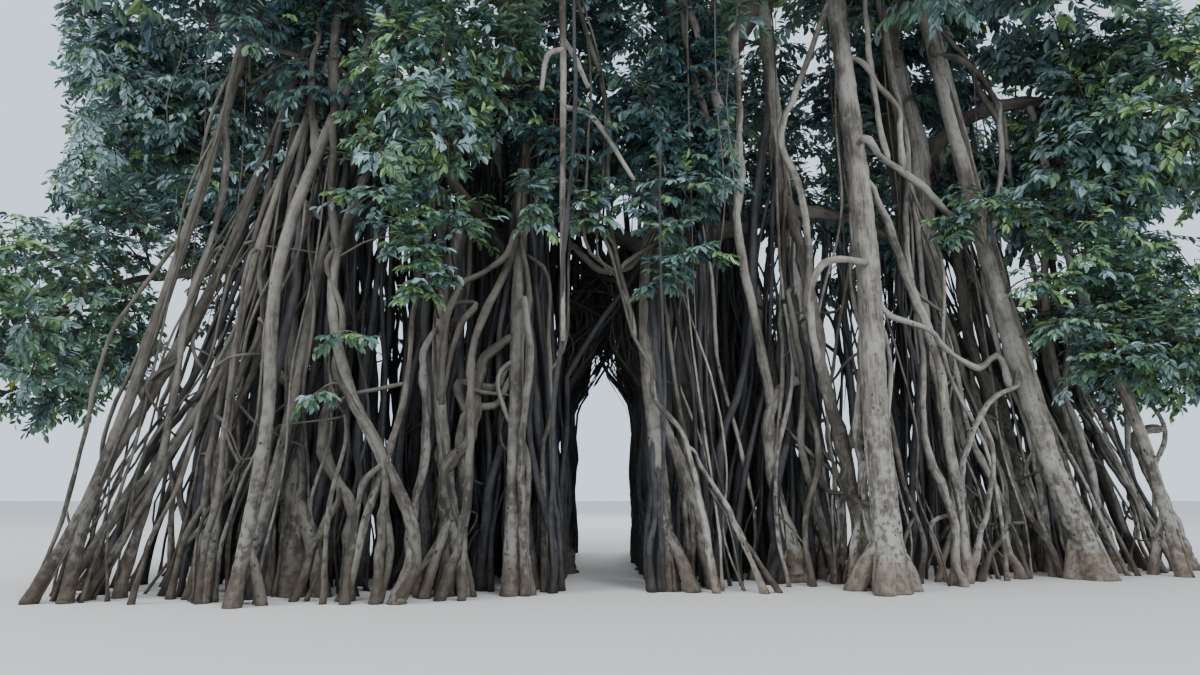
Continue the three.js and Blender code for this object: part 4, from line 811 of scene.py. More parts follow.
def make_props():
    for number, (name, spec) in enumerate(PROPS.items(), FIRST_PROP):
        bough = limbs[spec.bough].course
        points = [(*spec.foot, 0.0), *spec.bends, bough.at(spec.along)[0]]
        prop = Limb(points, spec.radius, spec.flare, rooted=True)
        others = [leg_of(prop, leg) for leg in spec.legs]
        if spec.twin:
            twin = spec.twin
            top = prop.course.at_height(twin.joint) if twin.joint else bough.at(twin.along)[0]
            others.append(Limb([(*twin.foot, 0.0), *twin.bends, top], twin.radius, spec.flare, rooted=True))
            limbs[name + "_twin"] = others[-1]
        limbs[name] = prop
        left = spec.foot[0]
        tint = BROWN if left < BROWN_PROPS_LEFT_OF else GREY if left < GREY_LEFT_OF else PALE
        make_limb(name, number, [ROOT_BARKS[tint]], prop, others)


def make_hanging_root():
    """The hanging root and its arms, whose cut ends show bare wood."""
    root = Limb([*HANGING_PATH, limbs[HANGING_BOUGH].course.at(HANGING_ALONG)[0]], HANGING_RADIUS)
    arms = []
    for height, bend, end in ARMS:
        start = root.course.at_height(height)
        arms.append(Limb([start, start + bend, start + end], ARM_RADIUS))
    piece = make_limb("hanging_root", HANGING_NUMBER, [ROOT_BARKS[PALE], CUT_WOOD], root, arms)
    ends = [arm.course.at(1.0)[0] for arm in arms]
    for face in piece.data.polygons:
        gaps = [np.linalg.norm(np.array(face.center) - end) for end in ends]
        if len(face.vertices) == 3 and min(gaps) < CUT_END:
            face.material_index = 1
            face.use_smooth = False


# Joined meshes from arrays
def mesh_of(name, places, faces, materials, marks, grain=None):
    """A mesh from arrays: faces is a list of arrays, each with its faces of one size. It is smooth where
    it has a grain."""
    mesh = bpy.data.meshes.new(name)
    mesh.vertices.add(len(places))
    mesh.vertices.foreach_set("co", places.astype(np.float32).ravel())
    corners = np.concatenate([group.ravel() for group in faces])
    sizes = np.concatenate([np.full(len(group), group.shape[1]) for group in faces])
    starts = np.concatenate([[0], np.cumsum(sizes)[:-1]])
    mesh.loops.add(len(corners))
    mesh.loops.foreach_set("vertex_index", corners.astype(np.int32))
    mesh.polygons.add(len(sizes))
    mesh.polygons.foreach_set("loop_start", starts.astype(np.int32))
    for material in materials:
        mesh.materials.append(material)
    mesh.polygons.foreach_set("material_index", marks.astype(np.int32))
    mesh.polygons.foreach_set("use_smooth", np.full(len(sizes), grain is not None))
    if grain is not None:
        set_grain(mesh, grain)
    mesh.update(calc_edges=True)
    piece = bpy.data.objects.new(name, mesh)
    bpy.context.scene.collection.objects.link(piece)
    return piece


# Each tube takes its bark from another place in the pattern
TUBE_SHIFT = 1.37
BUNDLE_SHIFT = 0.011
MOST_TWIST = 2.0
BUMPS = 1.4


def tube_frames(centres, rooted):
    """Two ways across each tube at each of its points, turned no more than its bends ask for."""
    tangent = unit(np.gradient(centres, axis=1))
    if rooted:
        tangent[:, 0] = UP
    chord = centres[:, -1] - centres[:, 0]
    steep = np.abs(chord[:, 2]) > STEEP * np.linalg.norm(chord, axis=1)
    across = np.where(steep[:, None], RIGHT, UP)
    frames = np.empty_like(centres)
    for step in range(centres.shape[1]):
        facing = tangent[:, step]
        across = unit(across - facing * np.sum(across * facing, axis=1, keepdims=True))
        frames[:, step] = across
    return frames, np.cross(tangent, frames)


def uneven_reach(reach, angles, uneven, random):
    """Makes tubes oval, with a slow twist, and bumpy."""
    tubes, points, _ = reach.shape
    phase = random.uniform(0, 2 * math.pi, (tubes, 1, 1))
    twist = random.uniform(-MOST_TWIST, MOST_TWIST, (tubes, 1, 1)) * np.linspace(0, 3, points)[None, :, None]
    reach = reach * (1 + uneven * np.cos(2 * angles + phase + twist))
    bumps = random.uniform(-BUMPS, BUMPS, reach.shape)
    bumps[:, 1:-1] = (bumps[:, :-2] + bumps[:, 1:-1] + bumps[:, 2:]) / 3
    return reach * (1 + uneven * bumps)


class Bundle:
    """Many closed tubes gathered into one mesh."""

    def __init__(self):
        self.parts = []
        self.count = 0

    def add(self, centres, radii, sides, rooted=False, uneven=0.0, random=None, marks=None):
        """Tubes round lines of points: centres is tubes by points by 3, radii is tubes by points, and
        marks gives the material of each tube."""
        tubes, points = radii.shape
        across, other = tube_frames(centres, rooted)
        angles = np.arange(sides) * 2 * math.pi / sides
        wide = radii[:, :, None]
        reach = np.repeat(wide, sides, axis=2)
        if uneven:
            reach = uneven_reach(reach, angles, uneven, random)
        ring = across[:, :, None] * (reach * np.cos(angles))[..., None]
        ring = ring + other[:, :, None] * (reach * np.sin(angles))[..., None]
        places = (centres[:, :, None] + ring).reshape(tubes, -1, 3)
        length = np.cumsum(np.linalg.norm(np.diff(centres, axis=1, prepend=centres[:, :1]), axis=2), axis=1)
        around_and_along = (wide * np.cos(angles), wide * np.sin(angles), length[:, :, None])
        grain = np.stack(np.broadcast_arrays(*around_and_along), axis=-1)
        grain = grain + (np.arange(tubes) * TUBE_SHIFT + self.count * BUNDLE_SHIFT)[:, None, None, None]
        end_grain = grain[:, [0, -1]].mean(axis=2)
        grain = grain.reshape(tubes, -1, 3)
        side = np.arange(sides)
        beside = (side + 1) % sides
        tip, last = points * sides, (points - 1) * sides
        if sides > 3:
            places = np.concatenate([places, centres[:, [0, -1]]], axis=1)
            grain = np.concatenate([grain, end_grain], axis=1)
            start_cap = np.stack(np.broadcast_arrays(tip, beside, side), axis=-1)
            end_cap = np.stack(np.broadcast_arrays(tip + 1, last + side, last + beside), axis=-1)
        else:
            start_cap, end_cap = np.array([[2, 1, 0]]), last + np.array([[0, 1, 2]])
        places[..., 2] = np.maximum(places[..., 2], 0)
        first = self.count + np.arange(tubes)[:, None, None] * places.shape[1]
        step = np.arange(points - 1)[:, None] * sides
        corners = [step + side, step + beside, step + sides + beside, step + sides + side]
        quads = np.stack([first + corner for corner in corners], axis=-1)
        caps = first + np.concatenate([start_cap, end_cap])[None]
        marks = np.zeros(tubes, int) if marks is None else marks
        rows = [array.reshape(-1, array.shape[-1]) for array in (places, grain, quads, caps)]
        self.parts.append((*rows, np.repeat(marks, (points - 1) * sides), np.repeat(marks, caps.shape[1])))
        self.count += tubes * places.shape[1]

    def piece(self, name, materials):
        places, grain, quads, caps, *marks = (np.concatenate(group) for group in zip(*self.parts))
        return mesh_of(name, places, [quads, caps], materials, np.concatenate(marks), grain)


# Roots: where they may hang from, and how far round the passage they keep, in waves along its sides
PROP_CARRIES_ABOVE = 3.2
LIMB_CARRIES_ABOVE = 4.0
CARRIER_STEP = 0.2
ARCH_START = 0.3
ARCH_SLOPE = 0.7
SIDE_GAP = 0.07
SIDE_WAVES = 0.055
WAVES_BACK = (9, 5)
WAVES_UP = 2.1
LEVEL = np.array([1, 1, 0])

# Share of the light roots among brown ones, from left to right
LIGHT_PLACES = (-6.0, -3.5, 1.0, 5.0, 12.0)
LIGHT_SHARES = (0.1, 0.35, 0.3, 0.85, 0.6)

# Stands of roots: for each sort how many there are, how thick, how far from the edge and their shares of
# the four stretches; the share of roots that fork; sides and points of roots and of forks; and colours
STANDS = {
    "front": ([{"count": 104, "thick": 0.05, "shares": (0.22, 0.13, 0.15, 0.5)}], 0.5, (8, 34, 7, 14), None),
    # Inner roots take the shaded bark, painted shade; back roots take it a third of the time
    "inner": ([{"count": 470, "thick": 0.08, "shares": (0.09, 0.36, 0.27, 0.28), "depths": (0.7, 7.0)},
               {"count": 46, "thick": 0.1, "shares": (0, 1, 0, 0), "depths": (2.0, 6.5)}],
              0.3, (5, 20, 5, 10), (SHADED,)),
    "back": ([{"count": 170, "thick": 0.062, "shares": (0.2, 0.32, 0.2, 0.28), "back": True}],
             0.5, (6, 28, 6, 12), (PALE, BROWN, SHADED)),
}
DEEPEST = 7.5
MEAN_DEPTH = 0.8
ROOT_RISE = (5.0, 9.5)
THINNEST = 0.02
ON_GROUND = 0.01

# How uneven the lean of a stand is, up to what height it counts, how far its roots lean back, how far
# their tops are from where they lean to, and how much they sway
LEAN_SPREAD = (0.6, 1.25)
LEAN_TOP = 6.0
LEAN_BACK = 0.17
LEAN_BACK_FADE = 2.5
TOP_SPREAD = 0.3
TOP_REACH = 1.6
STAND_SWAY = 0.1

# Where roots bend on their way up, and how much across, in depth and in height
BENDS_AT = np.array([0, 0.1, 0.24, 0.42, 0.62, 0.82, 1.0])
BEND_REACH = np.array([1, 0.7, 0.25])

# Roots along both sides of the passage, and others that cross over it
SIDE_ROOTS = 150
SIDE_RADIUS = (0.025, 0.075)
SIDE_RUN = (-3.3, 4.9)
SIDE_CLEAR = 0.1
SIDE_SPREAD = 0.12
SIDE_TOPS = (5.2, 8.5)
SIDE_TOP_SPREAD = (0.35, 0.5)
SIDE_TOP_REACH = 1.8
SIDE_SWAY = 0.06
CROSSING_RUN = (-0.6, 4.8)
CROSSING_LOW = (3.8, 5.0)
CROSSING_HIGH = (4.3, 6.8)
CROSSING_INSET = (0.15, 0.5)
CROSSING_SPREAD = 0.5
CROSSING_BOW = 0.15
CROSSING_RISE = (-0.1, 0.45)
CROSSING_RADIUS = (0.018, 0.06)

# Second feet, roots from one root to the next, strands on trunks and props as a number and a share of
# the radius, and threads as a number and the heights that they end at
FORK_HEIGHTS = (0.35, 1.9)
FORK_ASIDE = (0.16, 0.14)
FORK_FORWARD = (-0.1, 0.3)
FORK_KNEE = 0.14
FORK_SWAY = 0.03
FORK_RADIUS = (0.6, 0.85)
BRACES = {"front": 100, "inner": 110, "back": 60}
BRACE_POINTS = 24
BRACES_UP_TO = 0.8
BRACE_FIRST = 3
BRACE_TRIES = 40
BRACE_SLANT = 0.6
OUT_OF_REACH = 9.0
BRACE_BENDS = (0.3, 0.72)
BRACE_BOW = 0.16
BRACE_FORWARD = np.array([0, 0.05, 0])
BRACE_FAR_BOW = (0.2, 1.0)
BRACE_GAPS = (0.25, 1.1)
BRACE_SPANS = (0.2, 1.4)
BRACE_RADIUS = (0.016, 0.045)
BRACES_OVER_PASSAGE = 3.4
BRACES_RIGHT_OF = -5.3
CLINGING = {"trunk": (16, (0.07, 0.15)), "prop": (2, (0.18, 0.3))}
CLINGING_POINTS = 9
CLINGING_UP_TO = (0.45, 0.95)
CLINGING_TURN = 1.1
CLINGING_SWAY = 0.12
CLINGING_SUNK = 0.1
CLINGING_LOWEST = 0.1
CROSSING_THREADS = (120, (3.03, 4.0))
BOUGH_THREADS = (70, (2.6, 7.5))
SHORTEST_THREAD = 0.4
THREAD_TRIES = 20
THREADS_FROM = (0.1, 0.9)
THREAD_BENDS = np.array([0, 0.3, 0.6, 0.85, 1.0])
THREAD_FORWARD = -0.05
THREAD_SWAY = 0.06
THREAD_RADIUS = (0.006, 0.017)

# Feature roots that end below the first height run on to the ground, and below the second they bend down
# to it; other lower ends join what is close below. Tops above a height reach a limb, others a root.
RUNS_ON_BELOW = 1.0
BENDS_BELOW = 3.0
AT_GROUND = 0.12
LEAST_FALL = 0.5
BEND_OFFSET = (0.02, -0.12)
BEND_FALL = 0.55
FOOT_OFFSET = (0.04, -0.25)
BELOW_BY = 0.25
LOOKS_DOWN = 0.4
JOINS_WITHIN = 0.6
REACHES_LIMB_ABOVE = 2.5
TOP_SLACK = 0.1
LIMB_LIFT = 0.4
ROOT_LIFT = 0.25
TOP_WEIGHT = (1, 1, 0.45)
TOP_GAP = 0.08
TOP_RISE = 0.06

# Roots change thickness and wander about this often along their length, by these shares of their radius
NOISE_STEP = 0.2
NOISE_LIMITS = (-1.6, 1.8)
ROOT_WANDER = 0.2
ROOT_UNEVEN = 0.13
RING_UNEVEN = 0.12

# Points crowd towards a root's foot, which widens; roots taper, most of all at their top
FOOT_CROWDING = 1.25
FOOT_FLARE = 0.4
FOOT_FADE = 4
ROOT_TAPER = 0.3
LOOSE_END = 0.8
ROOT_TOP = 0.4

# Sides and points of the roots in each piece; where there are two pairs, the first is for those that
# stand on the ground
ROOT_DETAIL = {"feature": ((12, 44), (12, 30)), "further": ((12, 40), (9, 26)),
               "passage": ((6, 28), (6, 14)), "crossing": (7, 14), "crossing_inner": (5, 12),
               "clinging": (6, 32), "hanging": (4, 14)}
FIRST_ROOT_DRAW = 200
FIRST_SHOOT_DRAW = 300


def carriers(prop_height=PROP_CARRIES_ABOVE):
    """Points along the limbs that roots can hang from, those on prop roots above a height."""
    points = []
    for name, limb in limbs.items():
        place = limb.course.evenly(max(8, int(limb.course.length / CARRIER_STEP)))
        points.append(place[place[:, 2] > (prop_height if name.startswith("prop") else LIMB_CARRIES_ABOVE)])
    return np.concatenate(points)


def out_of_passage(line, radius):
    """Keeps a root on the side of the passage where its lower end is, until it can arch over it. Each
    root has its own distance from the passage, so that its sides are uneven."""
    inside = line[:, 1] > PASSAGE_LOW[1]
    over = np.maximum(line[:, 2] - PASSAGE_HIGH[2] - ARCH_START, 0) * ARCH_SLOPE
    first, second = (wave * line[0, 1] for wave in WAVES_BACK)
    waves = 2 + np.sin(first) + np.sin(WAVES_UP * line[:, 2] + second)
    room = radius + SIDE_GAP + SIDE_WAVES * waves - over
    if line[0, 0] < (PASSAGE_LOW[0] + PASSAGE_HIGH[0]) / 2:
        line[inside, 0] = np.minimum(line[:, 0], PASSAGE_LOW[0] - room)[inside]
    else:
        line[inside, 0] = np.maximum(line[:, 0], PASSAGE_HIGH[0] + room)[inside]
    return line


def nearest(points, place, weight=(1.0, 1.0, 0.5)):
    gaps = np.linalg.norm((points - place) * np.array(weight), axis=1)
    index = int(np.argmin(gaps))
    return points[index], gaps[index]


def wandering(foot, top, random, sway):
    """Points from foot to top, straight on the whole, with bends in between."""
    line = foot + (top - foot) * BENDS_AT[:, None]
    line[1:-1] += random.normal(0, sway, (len(BENDS_AT) - 2, 3)) * BEND_REACH
    return line


def stand_of_roots(random, count, thick, shares, depths=None, back=False):
    """Roots from the ground to the limbs, by the stand's edges and lean."""
    points = carriers()
    roots = []
    while len(roots) < count:
        x = random.uniform(*STRETCHES[random.choice(len(STRETCHES), p=shares)])
        edge = np.interp(x, *(BACK_EDGE if back else FRONT_EDGE))
        depth = min(random.uniform(*depths) if depths else random.exponential(MEAN_DEPTH), DEEPEST)
        y = edge - depth if back else edge + depth
        if y > np.interp(x, *BACK_EDGE):
            continue
        rise = random.uniform(*ROOT_RISE)
        slope = np.interp(x, *LEAN_RIGHT) * random.uniform(*LEAN_SPREAD)
        lean_back = LEAN_BACK * math.exp(-depth / LEAN_BACK_FADE) * (-1 if back else 1)
        ideal = np.array([x + slope * min(rise, LEAN_TOP), y + lean_back * rise, rise])
        ideal[:2] += random.normal(0, TOP_SPREAD, 2)
        top, gap = nearest(points, ideal)
        if gap > TOP_REACH:
            continue
        radius = THINNEST + thick * random.uniform() ** 2.0
        roots.append((wandering(np.array([x, y, 0.0]), top, random, STAND_SWAY), radius))
    return roots


def passage_sides(random, count):
    """Roots close together along both sides of the passage, with others that cross over it high up."""
    points = carriers()
    sides, crossing = [], []
    for number in range(count):
        radius = random.uniform(*SIDE_RADIUS)
        y = random.uniform(*SIDE_RUN)
        out = radius + abs(random.normal(0, SIDE_SPREAD))
        x = PASSAGE_HIGH[0] + SIDE_CLEAR + out if number % 2 else PASSAGE_LOW[0] - SIDE_CLEAR - out
        aside, back = (random.normal(0, spread) for spread in SIDE_TOP_SPREAD)
        top = np.array([x + aside, y + back, random.uniform(*SIDE_TOPS)])
        carrier, gap = nearest(points, top)
        if gap < SIDE_TOP_REACH:
            top = carrier
        sides.append((wandering(np.array([x, y, 0.0]), top, random, SIDE_SWAY), radius))
    for _ in range(count // 2):
        y = random.uniform(*CROSSING_RUN)
        low, high = random.uniform(*CROSSING_LOW), random.uniform(*CROSSING_HIGH)
        start = np.array([PASSAGE_LOW[0] - random.uniform(*CROSSING_INSET), y, low])
        end_x = PASSAGE_HIGH[0] + random.uniform(*CROSSING_INSET)
        end = np.array([end_x, y + random.normal(0, CROSSING_SPREAD), high])
        if random.uniform() < 0.5:
            start[2], end[2] = high, low
        bow = np.array([*random.normal(0, CROSSING_BOW, 2), random.uniform(*CROSSING_RISE)])
        crossing.append((np.array([start, (start + end) / 2 + bow, end]), random.uniform(*CROSSING_RADIUS)))
    return sides, crossing


def forks_of(roots, random, share):
    """Second feet that leave a root low down."""
    forks = []
    for line, radius in roots:
        if random.uniform() > share:
            continue
        height = random.uniform(*FORK_HEIGHTS)
        joint = Course(line).at_height(height)
        aside = random.normal(0, FORK_ASIDE[0] + FORK_ASIDE[1] * height)
        foot = np.array([joint[0] + aside, joint[1] - random.uniform(*FORK_FORWARD), 0])
        knee = (foot + joint) / 2 + np.array([0, 0, FORK_KNEE * height]) + random.normal(0, FORK_SWAY, 3)
        forks.append(([foot, knee, joint], radius * random.uniform(*FORK_RADIUS)))
    return forks


def braces_between(roots, random, count):
    """Short roots that cross from one root to the next, not across the passage and not in the fan of
    roots at the far left."""
    lines = np.array([Course(line).evenly(BRACE_POINTS, 0, BRACES_UP_TO) for line, _ in roots])
    braces = []
    tries = 0
    while len(braces) < count and tries < BRACE_TRIES * count:
        tries += 1
        first = random.integers(len(roots))
        start = lines[first, random.integers(BRACE_FIRST, BRACE_POINTS)]
        aim = start + np.array([0, 0, random.uniform(-BRACE_SLANT, BRACE_SLANT)])
        gaps = np.linalg.norm(lines - aim, axis=2)
        gaps[first] = OUT_OF_REACH
        best = np.argmin(np.abs(gaps - random.uniform(*BRACE_GAPS)))
        second, step = np.unravel_index(best, gaps.shape)
        end = lines[second, step]
        span = np.linalg.norm(end - start)
        left, right = sorted((start[0], end[0]))
        crosses = left < PASSAGE_HIGH[0] + SIDE_CLEAR and right > PASSAGE_LOW[0] - SIDE_CLEAR
        too_low = crosses and min(start[2], end[2]) < BRACES_OVER_PASSAGE
        if span < BRACE_SPANS[0] or span > BRACE_SPANS[1] or too_low or start[0] < BRACES_RIGHT_OF:
            continue
        bow = random.normal(0, BRACE_BOW * span, 3) - BRACE_FORWARD
        near = start + (end - start) * BRACE_BENDS[0] + bow
        far = start + (end - start) * BRACE_BENDS[1] + bow * random.uniform(*BRACE_FAR_BOW)
        braces.append(([start, near, far, end], random.uniform(*BRACE_RADIUS)))
    return braces


def grown_on(line, points, near):
    """A feature root is led down to the ground or to what is below it, and its top reaches a limb; points
    can carry it high up, and near are points of the limbs and of other feature roots."""
    line = [np.array(place, float) for place in line][::-1]
    low, high = line[0], line[-1]
    if low[2] < RUNS_ON_BELOW:
        run = unit(low - line[1])
        foot = low + run * low[2] / max(LEAST_FALL, -run[2])
        foot[2] = 0.0
        line[:0 if low[2] > AT_GROUND else 1] = [foot]
    elif low[2] < BENDS_BELOW:
        foot = np.array([low[0] + FOOT_OFFSET[0], low[1] + FOOT_OFFSET[1], 0.0])
        line[:0] = [foot, low + np.array([*BEND_OFFSET, -BEND_FALL * low[2]])]
    else:
        below, gap = nearest(near[near[:, 2] < low[2] - BELOW_BY], low - UP * LOOKS_DOWN)
        if gap < JOINS_WITHIN:
            line.insert(0, below)
    if high[2] > REACHES_LIMB_ABOVE:
        above, lift = points[points[:, 2] > high[2] - TOP_SLACK], LIMB_LIFT
    else:
        above, lift = near[near[:, 2] > high[2] + TOP_SLACK], ROOT_LIFT
    top, gap = nearest(above, high + UP * lift, TOP_WEIGHT)
    if gap > TOP_GAP:
        line += [(high + top) / 2 + UP * TOP_RISE, top]
    return np.array(line)


def clinging(random):
    """Strands that run down the trunks and props, half sunk in their bark."""
    strands = []
    for name, limb in limbs.items():
        count, thickness = CLINGING.get(name.split("_")[0], (0, None))
        for _ in range(count):
            share = np.linspace(0, random.uniform(*CLINGING_UP_TO), CLINGING_POINTS)
            angle = random.uniform(0, 2 * math.pi)
            angle = angle + np.linspace(0, random.normal(0, CLINGING_TURN), CLINGING_POINTS)
            angle = angle + random.normal(0, CLINGING_SWAY, CLINGING_POINTS)
            radius = limb.radius[0] * random.uniform(*thickness)
            tangent = limb.course.tangent(share)
            across = to_the_right(tangent)
            other = np.cross(across, tangent)
            reach = limb.radius_at(share, angle) - radius * CLINGING_SUNK
            around = np.sin(angle)[:, None] * across + np.cos(angle)[:, None] * other
            line = limb.course.at(share) + reach[:, None] * around
            line[0, 2] = 0.0
            line[1:, 2] = np.maximum(line[1:, 2], CLINGING_LOWEST)
            strands.append((line, radius))
    return strands


def threads_below(lines, random, count, low):
    """Thin roots that hang free from the middles of the lines given, down to a height."""
    threads = []
    tries = 0
    while len(threads) < count and tries < THREAD_TRIES * count:
        tries += 1
        start = Course(lines[random.integers(len(lines))]).at(random.uniform(*THREADS_FROM))[0]
        end = random.uniform(*low)
        if start[2] - end < SHORTEST_THREAD:
            continue
        line = start + np.array([0, THREAD_FORWARD, end - start[2]]) * THREAD_BENDS[:, None]
        line[1:] += random.normal(0, THREAD_SWAY, (len(THREAD_BENDS) - 1, 3)) * LEVEL
        threads.append((line, random.uniform(*THREAD_RADIUS)))
    return threads


def smooth_noise(random, share, length, width=1):
    """Random numbers that change smoothly along a root."""
    knots = max(4, int(length / NOISE_STEP))
    places = np.linspace(0, 1, knots)
    noise = random.normal(0, 1, (width, knots)).clip(*NOISE_LIMITS)
    return np.stack([np.interp(share, places, row) for row in noise], axis=1)


def tints_by_place(roots, random):
    """Light and brown roots, the light ones grey on the left and pale on the right; the grey is partly
    painted shade.
    """
    foot = np.array([line[0][0] for line, _ in roots])
    light = random.uniform(0, 1, len(roots)) < np.interp(foot, LIGHT_PLACES, LIGHT_SHARES)
    return np.where(light, np.where(foot < GREY_LEFT_OF, GREY, PALE), BROWN)


def bundle_of(name, groups, random, tints=None):
    """One piece of several groups of roots; each group is its roots, sides, points and whether rooted."""
    bundle = Bundle()
    for roots, sides, count, rooted in groups:
        if not roots:
            continue
        centres, radii = [], []
        for line, radius in roots:
            course = Course(line)
            share = np.linspace(0, 1, count) ** (FOOT_CROWDING if rooted else 1.0)
            noise = smooth_noise(random, share, course.length, 3)
            wander = ROOT_WANDER * radius * noise * LEVEL
            wander[0] = wander[-1] = 0
            centre = out_of_passage(course.at(share) + wander, radius)
            uneven = 1 + ROOT_UNEVEN * smooth_noise(random, share, course.length)[:, 0]
            width = radius * (1 - ROOT_TAPER * share) * uneven
            if rooted:
                width = width * (1 + FOOT_FLARE * np.exp(-share * course.length / (FOOT_FADE * radius)))
                centre[0, 2] = 0.0
            else:
                width[0] *= LOOSE_END
            width[-1] *= ROOT_TOP
            centres.append(centre)
            radii.append(width)
        marks = random.choice(tints, len(radii)) if tints else tints_by_place(roots, random)
        bundle.add(np.array(centres), np.array(radii), sides, rooted, RING_UNEVEN, random, marks)
    hand_in(bundle.piece("roots_" + name, ROOT_BARKS))


def rooted_and_aloft(roots, rooted_detail, aloft_detail):
    """Groups of the roots that stand on the ground and of those that don't, each with sides and points."""
    on_ground = [root for root in roots if root[0][0][2] < ON_GROUND]
    aloft = [root for root in roots if root[0][0][2] >= ON_GROUND]
    return [(on_ground, *rooted_detail, True), (aloft, *aloft_detail, False)]


def make_roots():
    random = random_source(FIRST_ROOT_DRAW)
    points, lower = carriers(), carriers(0.3)
    courses = [Course(line).evenly(30) for _, line in FEATURE_ROOTS]
    traced = []
    for number, (radius, line) in enumerate(FEATURE_ROOTS):
        near = np.concatenate([lower, *courses[:number], *courses[number + 1:]])
        traced.append((grown_on(line, points, near), radius))
    bundle_of("feature", rooted_and_aloft(traced, *ROOT_DETAIL["feature"]), random)
    stands = {}
    for name, (sorts, fork_share, detail, tints) in STANDS.items():
        roots = [root for sort in sorts for root in stand_of_roots(random, **sort)]
        forks = forks_of(roots, random, fork_share)
        bundle_of(name, [(roots, *detail[:2], True), (forks, *detail[2:], True)], random, tints)
        stands[name] = roots
    sides, crossing = passage_sides(random, SIDE_ROOTS)
    beside, over = ROOT_DETAIL["passage"]
    # Roots beside and over the passage take the shaded bark, painted shade
    bundle_of("passage", [(sides, *beside, True), (crossing, *over, False)], random, (SHADED,))
    braces = {name: braces_between(roots, random, BRACES[name]) for name, roots in stands.items()}
    bundle_of("crossing", [(braces["front"], *ROOT_DETAIL["crossing"], False)], random, (BROWN,))
    # Braces among the inner and back roots take the shaded bark, painted shade
    shaded = [(braces["inner"] + braces["back"], *ROOT_DETAIL["crossing_inner"], False)]
    bundle_of("crossing_inner", shaded, random, (SHADED,))
    bundle_of("clinging", [(clinging(random), *ROOT_DETAIL["clinging"], True)], random)
    threads = threads_below([line for line, _ in crossing], random, *CROSSING_THREADS)
    threads += threads_below([limbs[name].course.points for name in BOUGHS], random, *BOUGH_THREADS)
    bundle_of("hanging", [(threads, *ROOT_DETAIL["hanging"], False)], random, (BROWN,))
    near = np.concatenate([lower, *courses])
    for name, spec, tint in (("further", FURTHER_ROOTS, PALE), ("over_passage", OVER_PASSAGE_ROOTS, BROWN)):
        roots = [(grown_on(line, points, near), radius) for radius, line in spec]
        bundle_of(name, rooted_and_aloft(roots, *ROOT_DETAIL["further"]), random, (tint,))


# Foliage: no twig ends higher than the crown's top, so that the leaves on it stay in the size allowed
CROWN_TOP = cad_box[1][2] + 0.05
CLEAR_OF_MASSES = 0.02
CLEAR_OF_PASSAGE = 0.1
CLEAR_OF_LIMBS = 0.06
PLACES_AT_ONCE = 800

# Main twigs leave the stem by the golden angle, the outer ones first, and end within their mass
MAIN_TWIGS = 12
TWIG_FIRST = 0.97
TWIG_STRETCH = 0.5
TWIG_ORDER = 5
TWIG_WANDER = 0.8
TWIG_REACH = (0.72, 0.6, 0.48, 0.36, 0.26)

# Stems go on from a limb's tip, or leave a trunk's side
STEM_BACK = 0.1
STEM_LEAD = 0.3
STEM_TURN = 0.65
STEM_FIT = 0.86
STEM_END = 0.05
SIDE_STEM = 0.08

# Twigs: their rise in the middle, number of points and sway
MAIN_CURVE = (0.06, 8, 0.05)
SIDE_CURVE = (0.05, 6, 0.07)
BRANCHLET_CURVE = (0.1, 5, 0.06)

# Side twigs: fewest, and how many sprays come to each; how far from the middle they and the sprays start,
# how much they crowd outwards, how they prefer forks near the middle, and how far off a fork may be
LEAST_SIDE_TWIGS = 40
SPRAYS_ON_TWIG = 8
INNER_SHARE = 0.3
SIDE_OUTWARD, SPRAY_OUTWARD = 0.8, 1.6
SIDE_PULL, SPRAY_PULL = 0.8, 0.5
SIDE_SPAN, SPRAY_SPAN = 0.75, 0.45
CLUMP_SPREAD = 0.3
MAIN_ROOM, SIDE_ROOM, SPRAY_ROOM = 0.05, 0.03, 0.04

# Radius at both ends of each twig, the first two for a mass that reaches a metre
MAIN_RADIUS = (0.019, 0.007)
SIDE_TWIG_RADIUS = (0.0065, 0.0035)
SPRAY_RADIUS = (0.007, 0.003)
SHOOT_RADIUS = (0.022, 0.01)
BRANCHLET_RADIUS = (0.01, 0.005)
SHOOT_SPRAY_RADIUS = (0.0055, 0.003)

OUTER_SHARE = 0.94
LUMPS = np.array([[3.1, 2.2, -4.3], [-2.4, 4.1, 2.7], [4.6, -1.9, 3.3]]).T
SPRAY_LENGTH = (0.3, 0.75)
SPRAY_LEAVES = 10
LEAF_WIDTH = 0.46
DROOP = 0.4
SHADED_DROOP = 0.75

# Leaves along a spray: where they start, how far they stand to its side and are scattered, how much they
# face outwards and up and are tilted, and the range of their lengths
LEAVES_FROM = 0.25
LEAF_SPREAD = 1.15
LEAF_SCATTER = 0.32
LEAF_OUTWARD = 0.6
LEAF_UPWARD = 0.75
LEAF_TILT = 0.42
LEAF_RISE = 0.9
LEAF_LENGTHS = (0.72, 1.25)
SHOOT_LEAVES = 7
BRANCH_SPRAYS = 5
SHOOT_STEM = 1.4

# Shoots: their sizes and shape, the rise of the stem, where branchlets leave it and how they spread, and
# where sprays leave those, how they are turned and how long they are
SHOOT_SIZES = (0.55, 0.9)
SHOOT_SHAPE = np.array([1.0, 0.9, 0.6])
SHOOT_RISE = 0.12
BRANCHLETS_FROM = (0.5, 1.0)
BRANCHLET_DOME = 0.7
BRANCHLET_REACH = (0.6, 1.0)
SHOOT_SPRAYS_FROM = 0.3
SHOOT_SPREAD = 1.2
SHOOT_SCATTER = 0.25
SHOOT_SAG = 0.15
SHOOT_SPRAY_LENGTH = (0.32, 0.55)
SHOOT_OUTWARD = 0.4
LIMB_WEIGHT = (1, 1, 1)

